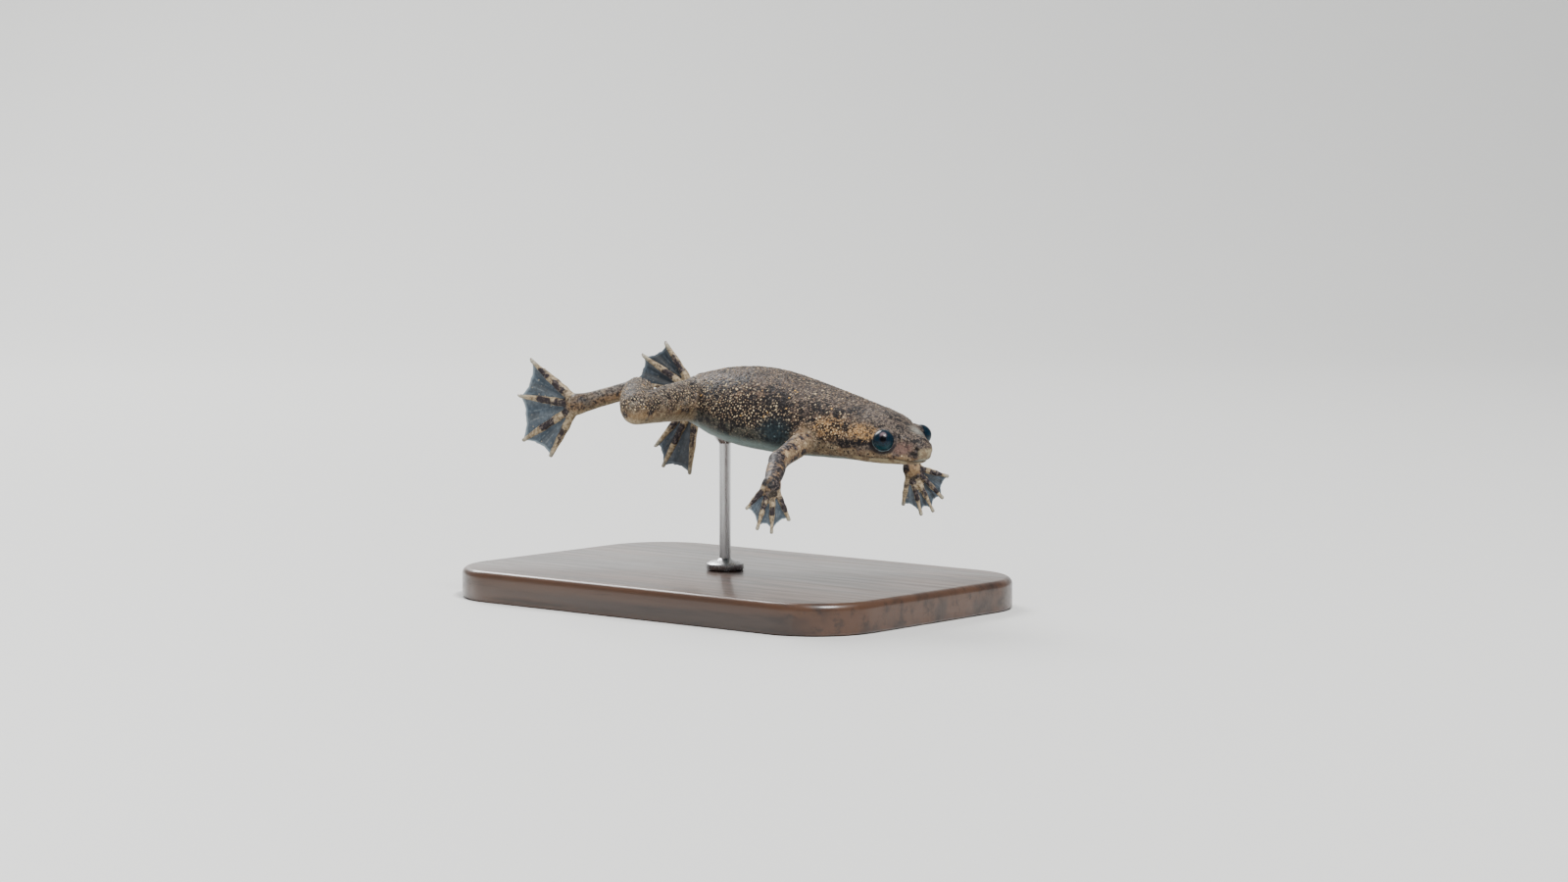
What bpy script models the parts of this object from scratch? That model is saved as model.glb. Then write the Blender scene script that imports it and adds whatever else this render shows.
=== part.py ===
"""A dwarf clawed frog, life size, swimming, held by a plain display stand.

Shapes are made in millimetres and scaled to metres at the end. +X is ahead of the frog,
+Y its left and +Z up. The origin is the middle of the stand's underside.
"""

import math

import bmesh
import bpy
from mathutils import Matrix, Vector

# Driving sizes in millimetres and angles in degrees
MILLIMETRE = 0.001
GAP = 0.3
BODY_LENGTH = 35.0
BODY_PITCH = 6.5
BODY_MIDDLE = 6.4
BODY_HEIGHT = 22.0
HEAD_TURN = -5.0
HEAD_ROLL = 3.0
NECK_PLACE = 25.2
RUMP_ROUNDING = 2.6
SNOUT_ROUNDING = 0.9

# Body sections: place from the rump, back, belly, half width, level of the widest line
BODY_SECTIONS = (
    (0.0, 2.4, -1.2, 3.0, 0.4),
    (3.0, 3.7, -2.4, 4.6, 0.3),
    (6.5, 4.7, -3.3, 6.1, 0.1),
    (10.5, 5.2, -3.6, 7.0, -0.2),
    (14.0, 5.1, -3.6, 6.9, -0.4),
    (18.5, 4.6, -3.3, 6.1, -0.5),
    (22.0, 4.2, -2.95, 5.4, -0.6),
    (25.2, 3.75, -2.6, 4.9, -0.6),
    (28.0, 3.4, -2.4, 4.4, -0.6),
    (30.0, 3.0, -2.2, 3.8, -0.6),
    (31.6, 2.3, -2.0, 3.0, -0.6),
    (33.4, 1.5, -1.75, 1.9, -0.5),
    (34.3, 1.2, -1.3, 1.35, -0.3),
    (35.0, 0.95, -0.9, 1.1, -0.1),
)
BACK_FULLNESS = 2.1
BELLY_FULLNESS = 2.5
BODY_SIDES = 28

# Head: eyes, lids, nostrils and the line of the mouth, in the body's own axes
EYE_RADIUS = 1.2
EYE_PLACE = 31.0
EYE_SIDE = 2.9
EYE_LEVEL = 0.75
EYE_HEADING = 48.0
EYE_RISE = 14.0
LID_RADIUS = 0.3
LID_CLEARANCE = 0.12
NOSTRIL_PLACE = 34.55
NOSTRIL_SIDE = 0.7
NOSTRIL_LEVEL = 0.85
NOSTRIL_RADIUS = 0.24
MOUTH_CORNER = 29.3
MOUTH_FRONT = 33.8
MOUTH_LEVEL_CORNER = -1.35
MOUTH_LEVEL_FRONT = -1.25
MOUTH_DEPTH = 0.35
MOUTH_WIDTH = 0.22

# Joints in the body's axes: place, side, level
SHOULDER = (21.2, 4.6, -0.7)
HIP = (3.2, 3.0, 0.7)

# Bones: length and the radii along it from the body outwards
UPPER_ARM = (6.4, (1.35, 1.2, 1.1, 1.0))
FOREARM = (5.8, (1.0, 1.05, 0.95, 0.8))
THIGH = (11.4, (2.3, 2.35, 2.1, 1.75))
SHANK = (10.8, (1.75, 1.75, 1.45, 1.05))
TARSUS = (7.0, (1.05, 0.98, 1.0, 1.1))

# Heading of each bone: 0 ahead, 90 outwards, 180 behind; then its rise
POSE = {
    "right": {
        "upper_arm": (82.0, -18.0),
        "forearm": (58.0, -20.5),
        "thigh": (84.0, -1.5),
        "shank": (-131.5, 7.5),
        "tarsus": (134.0, -15.2),
    },
    "left": {
        "upper_arm": (64.0, -11.5),
        "forearm": (-52.0, -23.5),
        "thigh": (90.0, -2.0),
        "shank": (-130.0, 7.0),
        "tarsus": (136.0, -14.0),
    },
}

# Fans of digits: heading of the fan's level line, share of each digit that the web reaches,
# depth of its bays, and for each digit the angle above that line, the reach from the fan's
# root, the lift of the tip out of the fan and the share that the web before it reaches
FANS = {
    "hand_right": {
        "level": 130.0,
        "web": 0.88,
        "bay": 0.04,
        "digits": (
            (-43.5, 3.9, 0.0, 1.0),
            (-72.0, 5.2, 0.0, 1.0),
            (-90.0, 5.4, 0.0, 1.0),
            (-116.0, 4.5, 0.0, 1.0),
        ),
    },
    "hand_left": {
        "level": 40.0,
        "web": 0.88,
        "bay": 0.04,
        "digits": (
            (-14.0, 4.3, 0.0, 1.0),
            (-44.5, 5.0, 0.0, 1.0),
            (-63.5, 5.6, 0.0, 1.0),
            (-78.0, 5.5, 0.0, 1.0),
            (-102.0, 4.4, 0.0, 1.0),
        ),
    },
    "foot_right": {
        "level": 166.0,
        "web": 0.95,
        "bay": 0.04,
        "digits": (
            (38.5, 6.1, 0.7, 1.0),
            (39.0, 7.9, 0.0, 1.0),
            (5.5, 7.8, 0.0, 1.0),
            (-31.5, 8.4, 0.0, 1.0),
            (-59.5, 7.1, 0.0, 1.0),
        ),
    },
    "foot_left": {
        "level": 192.0,
        "web": 0.95,
        "bay": 0.02,
        "digits": (
            (53.0, 7.6, 0.0, 1.0),
            (30.0, 8.9, 0.0, 1.0),
            (8.0, 8.9, 0.0, 1.0),
            (-47.5, 8.8, 0.0, 0.5),
            (-61.0, 10.1, 0.0, 1.0),
            (-82.5, 9.6, 0.0, 1.0),
        ),
    },
}
WEB_FOLD = ("foot_left", 2)
WEB_THICKNESS = 0.5
DIGIT_SPREAD = 1.6
DIGIT_START = 0.3
PALM_AHEAD = 0.45

# Radii of a digit from its root to its tip, and the half sizes of a palm and a sole
FINGER_RADII = (0.42, 0.36, 0.32, 0.27)
TOE_RADII = (0.6, 0.48, 0.4, 0.28)
FOLD_RADII = (0.4, 0.35, 0.3, 0.27)
PALM_SIZE = (1.3, 1.15, 0.65)
SOLE_SIZE = (1.7, 1.6, 0.85)

# Claws of the inner toes: how many, their length, their radius and the web's clearance
CLAWED_TOES = 3
CLAW_LENGTH = 0.45
CLAW_RADIUS = 0.24
CLAW_CLEARANCE = 0.36
CLAW_PROFILE = ((0.0, 0.8), (0.12, 1.0), (0.5, 0.75), (0.85, 0.35), (1.0, 0.12))

# Display stand
BASE_LENGTH = 58.0
BASE_WIDTH = 38.0
BASE_THICKNESS = 3.5
BASE_CORNER = 8.0
ROD_RADIUS = 0.65
ROD_PLACE = 5.0

SIDES = {"left": 1.0, "right": -1.0}
COLOURS = {
    "skin": ((0.16, 0.115, 0.08), 0.45),
    "limb": ((0.3, 0.21, 0.13), 0.45),
    "web": ((0.12, 0.14, 0.17), 0.4),
    "eye": ((0.01, 0.05, 0.08), 0.1),
    "claw": ((0.6, 0.5, 0.36), 0.35),
    "stand": ((0.02, 0.02, 0.022), 0.4),
    "rod": ((0.5, 0.5, 0.5), 0.25),
}


def clear_scene():
    """Remove every object of the start-up scene."""
    for item in list(bpy.data.objects):
        bpy.data.objects.remove(item)


def material(kind):
    """Return the Principled material of one kind of surface."""
    found = bpy.data.materials.get(kind)
    if found:
        return found
    colour, roughness = COLOURS[kind]
    made = bpy.data.materials.new(kind)
    made.use_nodes = True
    shader = made.node_tree.nodes["Principled BSDF"]
    shader.inputs["Base Color"].default_value = (*colour, 1.0)
    shader.inputs["Roughness"].default_value = roughness
    shader.inputs["Metallic"].default_value = 1.0 if kind == "rod" else 0.0
    return made


def new_object(name, vertices, faces, kind="skin"):
    """Make a mesh object from points and faces, with its normals facing out."""
    mesh = bpy.data.meshes.new(name)
    mesh.from_pydata([tuple(v) for v in vertices], [], faces)
    item = bpy.data.objects.new(name, mesh)
    bpy.context.scene.collection.objects.link(item)
    mesh.materials.append(material(kind))
    form = bmesh.new()
    form.from_mesh(mesh)
    bmesh.ops.recalc_face_normals(form, faces=form.faces)
    form.to_mesh(mesh)
    form.free()
    return item


def between(stations, place, column):
    """Read one column of a table of stations as a smooth curve through its rows."""
    place = min(max(place, stations[0][0]), stations[-1][0])
    index = max(i for i in range(len(stations) - 1) if stations[i][0] <= place)
    low, high = stations[index], stations[index + 1]
    before = stations[max(index - 1, 0)]
    after = stations[min(index + 2, len(stations) - 1)]
    span = high[0] - low[0]
    slope_low = (high[column] - before[column]) / (high[0] - before[0]) * span
    slope_high = (after[column] - low[column]) / (after[0] - low[0]) * span
    t = (place - low[0]) / span
    return (
        (2 * t**3 - 3 * t**2 + 1) * low[column]
        + (t**3 - 2 * t**2 + t) * slope_low
        + (3 * t**2 - 2 * t**3) * high[column]
        + (t**3 - t**2) * slope_high
    )


def rounding(place, length):
    """Return how much of its full section the body keeps near its two round ends."""
    from_rump = min(place / RUMP_ROUNDING, 1.0)
    from_snout = min((length - place) / SNOUT_ROUNDING, 1.0)
    share = max(min(from_rump, from_snout), 0.0)
    return math.sqrt(1.0 - (1.0 - share) ** 2)


def posed(point):
    """Move a point from the body's own axes to its place above the stand."""
    place, side, level = point
    turned = Vector((place, side, level))
    beyond = min(max(place - NECK_PLACE, 0.0) / (EYE_PLACE - NECK_PLACE), 1.0)
    if beyond > 0.0:
        pivot = Vector((NECK_PLACE, 0.0, 0.0))
        turn = Matrix.Rotation(math.radians(HEAD_TURN * beyond), 3, "Z")
        roll = Matrix.Rotation(math.radians(HEAD_ROLL * beyond), 3, "X")
        turned = pivot + turn @ roll @ (turned - pivot)
    tilt = Matrix.Rotation(math.radians(BODY_PITCH), 3, "Y")
    middle = Vector((BODY_MIDDLE, 0.0, 0.0))
    return tilt @ (turned - middle) + Vector((0.0, 0.0, BODY_HEIGHT))


def body_outline(place, grow=0.0):
    """Return back, belly, half width and widest level of the body at one place."""
    share = rounding(place, BODY_LENGTH)
    widest = between(BODY_SECTIONS, place, 4)
    back = widest + (between(BODY_SECTIONS, place, 1) - widest) * share + grow
    belly = widest + (between(BODY_SECTIONS, place, 2) - widest) * share - grow
    return back, belly, between(BODY_SECTIONS, place, 3) * share + grow, widest


def body_ring(place, grow=0.0, sides=BODY_SIDES):
    """Return one closed section of the body, in the body's own axes."""
    back, belly, half_width, widest = body_outline(place, grow)
    ring = []
    for step in range(sides):
        angle = 2.0 * math.pi * (step + 0.5) / sides
        across, up = math.cos(angle), math.sin(angle)
        power = 2.0 / (BACK_FULLNESS if up > 0.0 else BELLY_FULLNESS)
        height = back - widest if up > 0.0 else widest - belly
        side = math.copysign(abs(across) ** power, across) * half_width
        level = widest + math.copysign(abs(up) ** power, up) * height
        ring.append((place, side, level))
    return ring


def side_at(place, level):
    """Return the half width of the body's surface at one place and level."""
    back, belly, half_width, widest = body_outline(place)
    above = level > widest
    fullness = BACK_FULLNESS if above else BELLY_FULLNESS
    height = back - widest if above else widest - belly
    share = min(abs(level - widest) / height, 1.0)
    return half_width * (1.0 - share**fullness) ** (1.0 / fullness)


def skin_rings(name, rings, kind="skin"):
    """Join a row of rings into one closed surface with a cap at each end."""
    vertices = [point for ring in rings for point in ring]
    sides = len(rings[0])
    faces = []
    for row in range(len(rings) - 1):
        for step in range(sides):
            here, after = row * sides + step, row * sides + (step + 1) % sides
            faces.append((here, after, after + sides, here + sides))
    for row in (0, len(rings) - 1):
        centre = sum((Vector(point) for point in rings[row]), Vector()) / sides
        vertices.append(centre)
        for step in range(sides):
            faces.append((row * sides + step, row * sides + (step + 1) % sides, len(vertices) - 1))
    return new_object(name, vertices, faces, kind)


def spaced(start, end, count):
    """Return evenly spaced places from start to end."""
    return [start + (end - start) * step / (count - 1) for step in range(count)]


def body_places(start, end, step):
    """Return places of sections, closer together towards a round end."""
    places = spaced(start, end, max(int(round((end - start) / step)), 2) + 1)
    ends = []
    for share in (0.02, 0.1, 0.25, 0.45, 0.7):
        ends.append(RUMP_ROUNDING * share)
        ends.append(BODY_LENGTH - SNOUT_ROUNDING * share)
    clear = [p for p in places if RUMP_ROUNDING * 0.85 < p < BODY_LENGTH - SNOUT_ROUNDING * 0.85]
    return sorted(clear + [p for p in ends if start <= p <= end])


def body_part(name, start, end, step, grow=0.0):
    """Make the closed stretch of the body between two places."""
    rings = [[posed(point) for point in body_ring(place, grow)] for place in body_places(start, end, step)]
    return skin_rings(name, rings)


def body_cutter():
    """Make the whole body, grown by the gap, for cutting the roots of limbs and the rod."""
    rings = [[posed(point) for point in body_ring(place, GAP, 24)] for place in body_places(0.0, 30.0, 1.8)]
    return skin_rings("body_cutter", rings)


def applied(item):
    """Replace an object's mesh by its mesh after its modifiers."""
    graph = bpy.context.evaluated_depsgraph_get()
    mesh = bpy.data.meshes.new_from_object(item.evaluated_get(graph))
    item.modifiers.clear()
    item.data = mesh
    return item


def keep_largest(item):
    """Keep only the largest closed surface of an object."""
    form = bmesh.new()
    form.from_mesh(item.data)
    unseen = set(form.verts)
    groups = []
    while unseen:
        front = [unseen.pop()]
        group = set(front)
        while front:
            for edge in front.pop().link_edges:
                for vertex in edge.verts:
                    if vertex in unseen:
                        unseen.discard(vertex)
                        group.add(vertex)
                        front.append(vertex)
        groups.append(group)
    largest = max(groups, key=len)
    bmesh.ops.delete(form, geom=[v for v in form.verts if v not in largest], context="VERTS")
    bmesh.ops.remove_doubles(form, verts=form.verts, dist=0.01)
    bmesh.ops.dissolve_degenerate(form, edges=form.edges, dist=0.005)
    bmesh.ops.triangulate(form, faces=form.faces)
    form.to_mesh(item.data)
    form.free()
    return item


def cut(item, cutter, remove_cutter=True):
    """Cut one object away from another."""
    modifier = item.modifiers.new("cut", "BOOLEAN")
    modifier.operation = "DIFFERENCE"
    modifier.object = cutter
    applied(item)
    if remove_cutter:
        bpy.data.objects.remove(cutter)
    return item


def fuse(pieces):
    """Join closed objects into the first of them by one union."""
    first, *others = pieces
    group = bpy.data.collections.new("pieces")
    bpy.context.scene.collection.children.link(group)
    for piece in others:
        bpy.context.scene.collection.objects.unlink(piece)
        group.objects.link(piece)
    modifier = first.modifiers.new("fuse", "BOOLEAN")
    modifier.operation = "UNION"
    modifier.operand_type = "COLLECTION"
    modifier.collection = group
    applied(first)
    for piece in others:
        bpy.data.objects.remove(piece)
    bpy.data.collections.remove(group)
    return first


def trim(item, point, normal):
    """Cut off what lies beyond a plane and close the face."""
    form = bmesh.new()
    form.from_mesh(item.data)
    everything = list(form.verts) + list(form.edges) + list(form.faces)
    bmesh.ops.bisect_plane(form, geom=everything, plane_co=point, plane_no=normal, clear_outer=True)
    rim = [edge for edge in form.edges if edge.is_boundary]
    bmesh.ops.edgeloop_fill(form, edges=rim)
    bmesh.ops.recalc_face_normals(form, faces=form.faces)
    form.to_mesh(item.data)
    form.free()
    return item


def frame_along(direction):
    """Return two unit vectors square to a direction and to each other."""
    helper = Vector((0.0, 0.0, 1.0)) if abs(direction.z) < 0.9 else Vector((1.0, 0.0, 0.0))
    first = direction.cross(helper).normalized()
    return first, direction.cross(first).normalized()


def tube(name, start, end, radii, sides=14, rows=8, kind="limb"):
    """Make a straight limb with round ends whose radius follows a few values."""
    axis = (end - start).normalized()
    across, up = frame_along(axis)
    length = (end - start).length
    table = list(zip(spaced(0.0, 1.0, len(radii)), radii))
    stops = []
    for turn in (80.0, 55.0, 28.0):
        stops.append((-radii[0] * math.sin(math.radians(turn)), radii[0] * math.cos(math.radians(turn))))
    stops += [(share * length, between(table, share, 1)) for share in spaced(0.0, 1.0, rows)]
    for turn in (28.0, 55.0, 80.0):
        stops.append((length + radii[-1] * math.sin(math.radians(turn)), radii[-1] * math.cos(math.radians(turn))))
    rings = []
    for distance, radius in stops:
        ring = []
        for step in range(sides):
            angle = 2.0 * math.pi * step / sides
            ring.append(start + axis * distance + (across * math.cos(angle) + up * math.sin(angle)) * radius)
        rings.append(ring)
    return skin_rings(name, rings, kind)


def heading(side, angle, rise):
    """Return the unit vector of an outward heading and a rise, on one side of the frog."""
    flat = math.cos(math.radians(rise))
    return Vector(
        (
            math.cos(math.radians(angle)) * flat,
            SIDES[side] * math.sin(math.radians(angle)) * flat,
            math.sin(math.radians(rise)),
        )
    )


def chain(side, root, names, bones):
    """Return the joints of a limb from its root outwards."""
    joints = [root]
    for name, bone in zip(names, bones):
        joints.append(joints[-1] + heading(side, *POSE[side][name]) * bone[0])
    return joints


def split_at(joint, inner, outer, incoming, outgoing):
    """Part two limb pieces at a joint by the plane halfway between their bones."""
    normal = (incoming.normalized() + outgoing.normalized()).normalized()
    trim(inner, joint - normal * GAP / 2.0, normal)
    trim(outer, joint + normal * GAP / 2.0, -normal)


def fan_axes(side, name):
    """Return the level line, the up line and the normal of a fan of digits."""
    level = heading(side, FANS[name]["level"], 0.0)
    up = Vector((0.0, 0.0, 1.0))
    return level, up, level.cross(up)


def fan_digits(side, name, root, spread):
    """Return each digit of a fan as its base, its tip and where the web before it ends."""
    level, up, normal = fan_axes(side, name)
    digits = FANS[name]["digits"]
    middle = math.radians(sum(digit[0] for digit in digits) / len(digits))
    across = level * -math.sin(middle) + up * math.cos(middle)
    ahead = level * math.cos(middle) + up * math.sin(middle)
    made = []
    for index, (angle, reach, lift, web_before) in enumerate(digits):
        turn = math.radians(angle)
        tip = root + (level * math.cos(turn) + up * math.sin(turn)) * reach + normal * lift
        offset = 0.5 - index / (len(digits) - 1)
        base = root + across * offset * spread + ahead * spread * DIGIT_START
        made.append((base, tip, web_before))
    return made


def flat_ellipsoid(name, centre, axes, sizes, kind="limb"):
    """Make a flattened ball along three axes."""
    form = bmesh.new()
    bmesh.ops.create_uvsphere(form, u_segments=14, v_segments=8, radius=1.0)
    turn = Matrix([[axis[row] * size for axis, size in zip(axes, sizes)] for row in range(3)])
    vertices = [centre + turn @ vertex.co for vertex in form.verts]
    faces = [tuple(vertex.index for vertex in face.verts) for face in form.faces]
    form.free()
    return new_object(name, vertices, faces, kind)


def web_end(name, base, tip, share, tips):
    """Return where the web ends on a digit, short of any claw."""
    length = (tip - base).length
    limit = length - CLAW_LENGTH - CLAW_CLEARANCE if (base, tip) in tips else length
    return base + (tip - base) * min(FANS[name]["web"], share, limit / length)


def web_plate(name, root, digits, normal, tips):
    """Make the flat web between the digits, with a shallow bay in each edge."""
    bay_depth = FANS[name]["bay"]
    outline = [root]
    for (base, tip, _), (next_base, next_tip, before) in zip(digits, digits[1:]):
        first = web_end(name, base, tip, 1.0, tips)
        second = web_end(name, next_base, next_tip, before, tips)
        bay = (first + second) / 2.0
        bay += (root - bay) * bay_depth * 2.0
        for share in (0.0, 0.25, 0.5, 0.75, 1.0):
            outline.append(first * (1 - share) ** 2 + bay * 2 * share * (1 - share) + second * share**2)
    outline = [point for i, point in enumerate(outline) if i == 0 or (point - outline[i - 1]).length > 0.01]
    half = normal * WEB_THICKNESS / 2.0
    count = len(outline)
    vertices = [point + half for point in outline] + [point - half for point in outline]
    faces = [tuple(range(count)), tuple(range(2 * count - 1, count - 1, -1))]
    for step in range(count):
        after = (step + 1) % count
        faces.append((step, step + count, after + count, after))
    return new_object("web", vertices, faces, "web")


def fan(side, name, root, joint_radius, radii, size):
    """Make a hand or foot: palm, digits and web in one closed surface."""
    level, up, normal = fan_axes(side, name)
    digits = fan_digits(side, name, root, size[1] * DIGIT_SPREAD)
    ahead = (sum((digit[1] for digit in digits), Vector()) / len(digits) - root).normalized()
    across = ahead.cross(normal).normalized()
    web_digits = [digit for digit, given in zip(digits, FANS[name]["digits"]) if not given[2]]
    pieces = [flat_ellipsoid(name, root + ahead * size[0] * PALM_AHEAD, (ahead, across, normal), size)]
    pieces.append(flat_ellipsoid("root", root, (ahead, across, normal), (joint_radius,) * 3))
    tips = claw_tips(name, digits)
    for index, (base, tip, _) in enumerate(digits):
        short = CLAW_LENGTH + GAP if (base, tip) in tips else 0.0
        thickness = FOLD_RADII if (name, index) == WEB_FOLD else radii
        end = tip - (tip - base).normalized() * (short + thickness[-1])
        pieces.append(tube("digit", base, end, thickness, 8, 6))
    pieces.append(web_plate(name, root, web_digits, normal, tips))
    return fuse(pieces), ahead, tips


def claw_tips(name, digits):
    """Return base and tip of the toes that carry a claw: the inner three of a foot."""
    toes = [(base, tip) for index, (base, tip, _) in enumerate(digits) if (name, index) != WEB_FOLD]
    return toes[:CLAWED_TOES] if name.startswith("foot") else []


def claw(name, base, tip):
    """Make one small claw ahead of a toe's tip."""
    axis = (tip - base).normalized()
    across, up = frame_along(axis)
    start = tip - axis * CLAW_LENGTH
    rings = []
    for share, radius in CLAW_PROFILE:
        centre = start + axis * CLAW_LENGTH * share
        ring = []
        for step in range(8):
            angle = 2.0 * math.pi * step / 8
            ring.append(centre + (across * math.cos(angle) + up * math.sin(angle)) * CLAW_RADIUS * radius)
        rings.append(ring)
    return skin_rings(name, rings, "claw")


def arm(side, body):
    """Make one arm: upper arm, forearm and webbed hand."""
    place, out, level = SHOULDER
    shoulder = posed((place, SIDES[side] * out, level))
    joints = chain(side, shoulder, ("upper_arm", "forearm"), (UPPER_ARM, FOREARM))
    upper = tube("upper_arm_" + side, joints[0], joints[1], UPPER_ARM[1])
    fore = tube("forearm_" + side, joints[1], joints[2], FOREARM[1])
    hand, ahead, _ = fan(side, "hand_" + side, joints[2], FOREARM[1][-1], FINGER_RADII, PALM_SIZE)
    split_at(joints[1], upper, fore, joints[1] - joints[0], joints[2] - joints[1])
    split_at(joints[2], fore, hand, joints[2] - joints[1], ahead)
    cut(upper, body, False)
    for piece in (upper, fore, hand):
        keep_largest(piece)


def leg(side, body):
    """Make one hind leg: thigh, shank, tarsus, webbed foot and its claws."""
    place, out, level = HIP
    hip = posed((place, SIDES[side] * out, level))
    joints = chain(side, hip, ("thigh", "shank", "tarsus"), (THIGH, SHANK, TARSUS))
    thigh = tube("thigh_" + side, joints[0], joints[1], THIGH[1])
    shank = tube("shank_" + side, joints[1], joints[2], SHANK[1])
    tarsus = tube("tarsus_" + side, joints[2], joints[3], TARSUS[1])
    foot, ahead, clawed = fan(side, "foot_" + side, joints[3], TARSUS[1][-1], TOE_RADII, SOLE_SIZE)
    calf = tube("calf", joints[1], joints[2], [radius + GAP for radius in SHANK[1]])
    cut(thigh, calf)
    split_at(joints[2], shank, tarsus, joints[2] - joints[1], joints[3] - joints[2])
    split_at(joints[3], tarsus, foot, joints[3] - joints[2], ahead)
    cut(thigh, body, False)
    for piece in (thigh, shank, tarsus, foot):
        keep_largest(piece)
    for index, (base, tip) in enumerate(clawed):
        claw(f"claw_{side}_{index + 1}", base, tip)


def ball(name, centre, radius, kind, segments=20):
    """Make a ball."""
    form = bmesh.new()
    bmesh.ops.create_uvsphere(form, u_segments=segments, v_segments=segments // 2, radius=radius)
    vertices = [centre + vertex.co for vertex in form.verts]
    faces = [tuple(vertex.index for vertex in face.verts) for face in form.faces]
    form.free()
    return new_object(name, vertices, faces, kind)


def lid(centre, axis):
    """Make the ring of skin round an eye."""
    across, up = frame_along(axis)
    rings = []
    reach = EYE_RADIUS + LID_CLEARANCE
    for turn in spaced(0.0, 2.0 * math.pi, 25)[:-1]:
        outward = across * math.cos(turn) + up * math.sin(turn)
        middle = centre + outward * reach
        ring = []
        for step in range(8):
            angle = 2.0 * math.pi * step / 8
            ring.append(middle + (outward * math.cos(angle) + axis * math.sin(angle)) * LID_RADIUS)
        rings.append(ring)
    vertices = [point for ring in rings for point in ring]
    faces = []
    for row in range(len(rings)):
        for step in range(8):
            after_row, after = (row + 1) % len(rings), (step + 1) % 8
            faces.append((row * 8 + step, row * 8 + after, after_row * 8 + after, after_row * 8 + step))
    return new_object("lid", vertices, faces)


def mouth_cutter():
    """Make the thin bent strip that cuts the line of the mouth round the snout."""
    places = spaced(MOUTH_CORNER, MOUTH_FRONT, 9)
    edge = []
    for place in places:
        share = (place - MOUTH_CORNER) / (MOUTH_FRONT - MOUTH_CORNER)
        level = MOUTH_LEVEL_CORNER + (MOUTH_LEVEL_FRONT - MOUTH_LEVEL_CORNER) * share
        edge.append((place, side_at(place, level), level))
    path = edge + [(place, -side, level) for place, side, level in reversed(edge)]
    rings = []
    for index, (place, side, level) in enumerate(path):
        before, after = path[max(index - 1, 0)], path[min(index + 1, len(path) - 1)]
        along = Vector((after[0] - before[0], after[1] - before[1], 0.0)).normalized()
        outward = Vector((-along.y, along.x, 0.0))
        if outward.dot(Vector((place - MOUTH_CORNER + 1.0, side, 0.0))) < 0.0:
            outward = -outward
        centre = Vector((place, side, level))
        ring = []
        for out, up in ((0.6, 0.5), (0.6, -0.5), (-MOUTH_DEPTH, -0.2), (-MOUTH_DEPTH, 0.2)):
            ring.append(posed(centre + outward * out + Vector((0.0, 0.0, up * MOUTH_WIDTH))))
        rings.append(ring)
    return skin_rings("mouth_cutter", rings)


def head():
    """Make the head with its lids, eye sockets, nostrils and line of the mouth, and the eyes."""
    skull = body_part("head", NECK_PLACE + GAP / 2.0, BODY_LENGTH, 0.8)
    centres = {}
    lids = []
    for side, sign in SIDES.items():
        centre = posed((EYE_PLACE, sign * EYE_SIDE, EYE_LEVEL))
        axis = heading(side, EYE_HEADING + sign * HEAD_TURN, EYE_RISE)
        centres[side] = centre
        lids.append(lid(centre, axis))
    fuse([skull] + lids)
    for side, sign in SIDES.items():
        cut(skull, ball("socket", centres[side], EYE_RADIUS + GAP, "skin"))
        ball("eye_" + side, centres[side], EYE_RADIUS, "eye")
        nostril = posed((NOSTRIL_PLACE, sign * NOSTRIL_SIDE, NOSTRIL_LEVEL))
        cut(skull, ball("nostril", nostril, NOSTRIL_RADIUS, "skin", 8))
    cut(skull, mouth_cutter())
    keep_largest(skull)


def stand(body):
    """Make the flat base and the rod up to the belly."""
    outline = []
    for corner, (x_sign, y_sign) in enumerate(((1, 1), (-1, 1), (-1, -1), (1, -1))):
        for turn in spaced(90.0 * corner, 90.0 * corner + 90.0, 7):
            outline.append(
                (
                    x_sign * (BASE_LENGTH / 2.0 - BASE_CORNER) + BASE_CORNER * math.cos(math.radians(turn)),
                    y_sign * (BASE_WIDTH / 2.0 - BASE_CORNER) + BASE_CORNER * math.sin(math.radians(turn)),
                )
            )
    rings = [[(x, y, 0.0) for x, y in outline], [(x, y, BASE_THICKNESS) for x, y in outline]]
    skin_rings("stand_base", rings, "stand")
    top = posed((ROD_PLACE, 0.0, 0.0))
    foot = Vector((top.x, 0.0, BASE_THICKNESS + GAP))
    rings = []
    for level in (foot.z, top.z):
        ring = []
        for step in range(20):
            angle = 2.0 * math.pi * step / 20
            ring.append((top.x + ROD_RADIUS * math.cos(angle), ROD_RADIUS * math.sin(angle), level))
        rings.append(ring)
    rod = skin_rings("stand_rod", rings, "rod")
    cut(rod, body, False)
    keep_largest(rod)


def finish():
    """Scale every piece from millimetres to metres and shade it smooth."""
    for item in bpy.data.objects:
        item.data.transform(Matrix.Scale(MILLIMETRE, 4))
        item.data.shade_smooth()
        item.data.set_sharp_from_angle(angle=math.radians(40.0))


def main():
    clear_scene()
    body = body_cutter()
    body_part("torso", 0.0, NECK_PLACE - GAP / 2.0, 1.5)
    head()
    for side in SIDES:
        arm(side, body)
        leg(side, body)
    stand(body)
    bpy.data.objects.remove(body)
    finish()


main()
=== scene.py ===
"""A life-size dwarf clawed frog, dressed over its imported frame: skin, webs, eyes, claws and stand.

Shapes are worked out in millimetres, +X ahead of the frog, +Y its left and +Z up, and each
finished mesh is scaled to metres. Forms that the frame gives as whole solids are read from it.
"""

import math

import bmesh
import bpy
import numpy as np
from mathutils import Matrix, Vector


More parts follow.
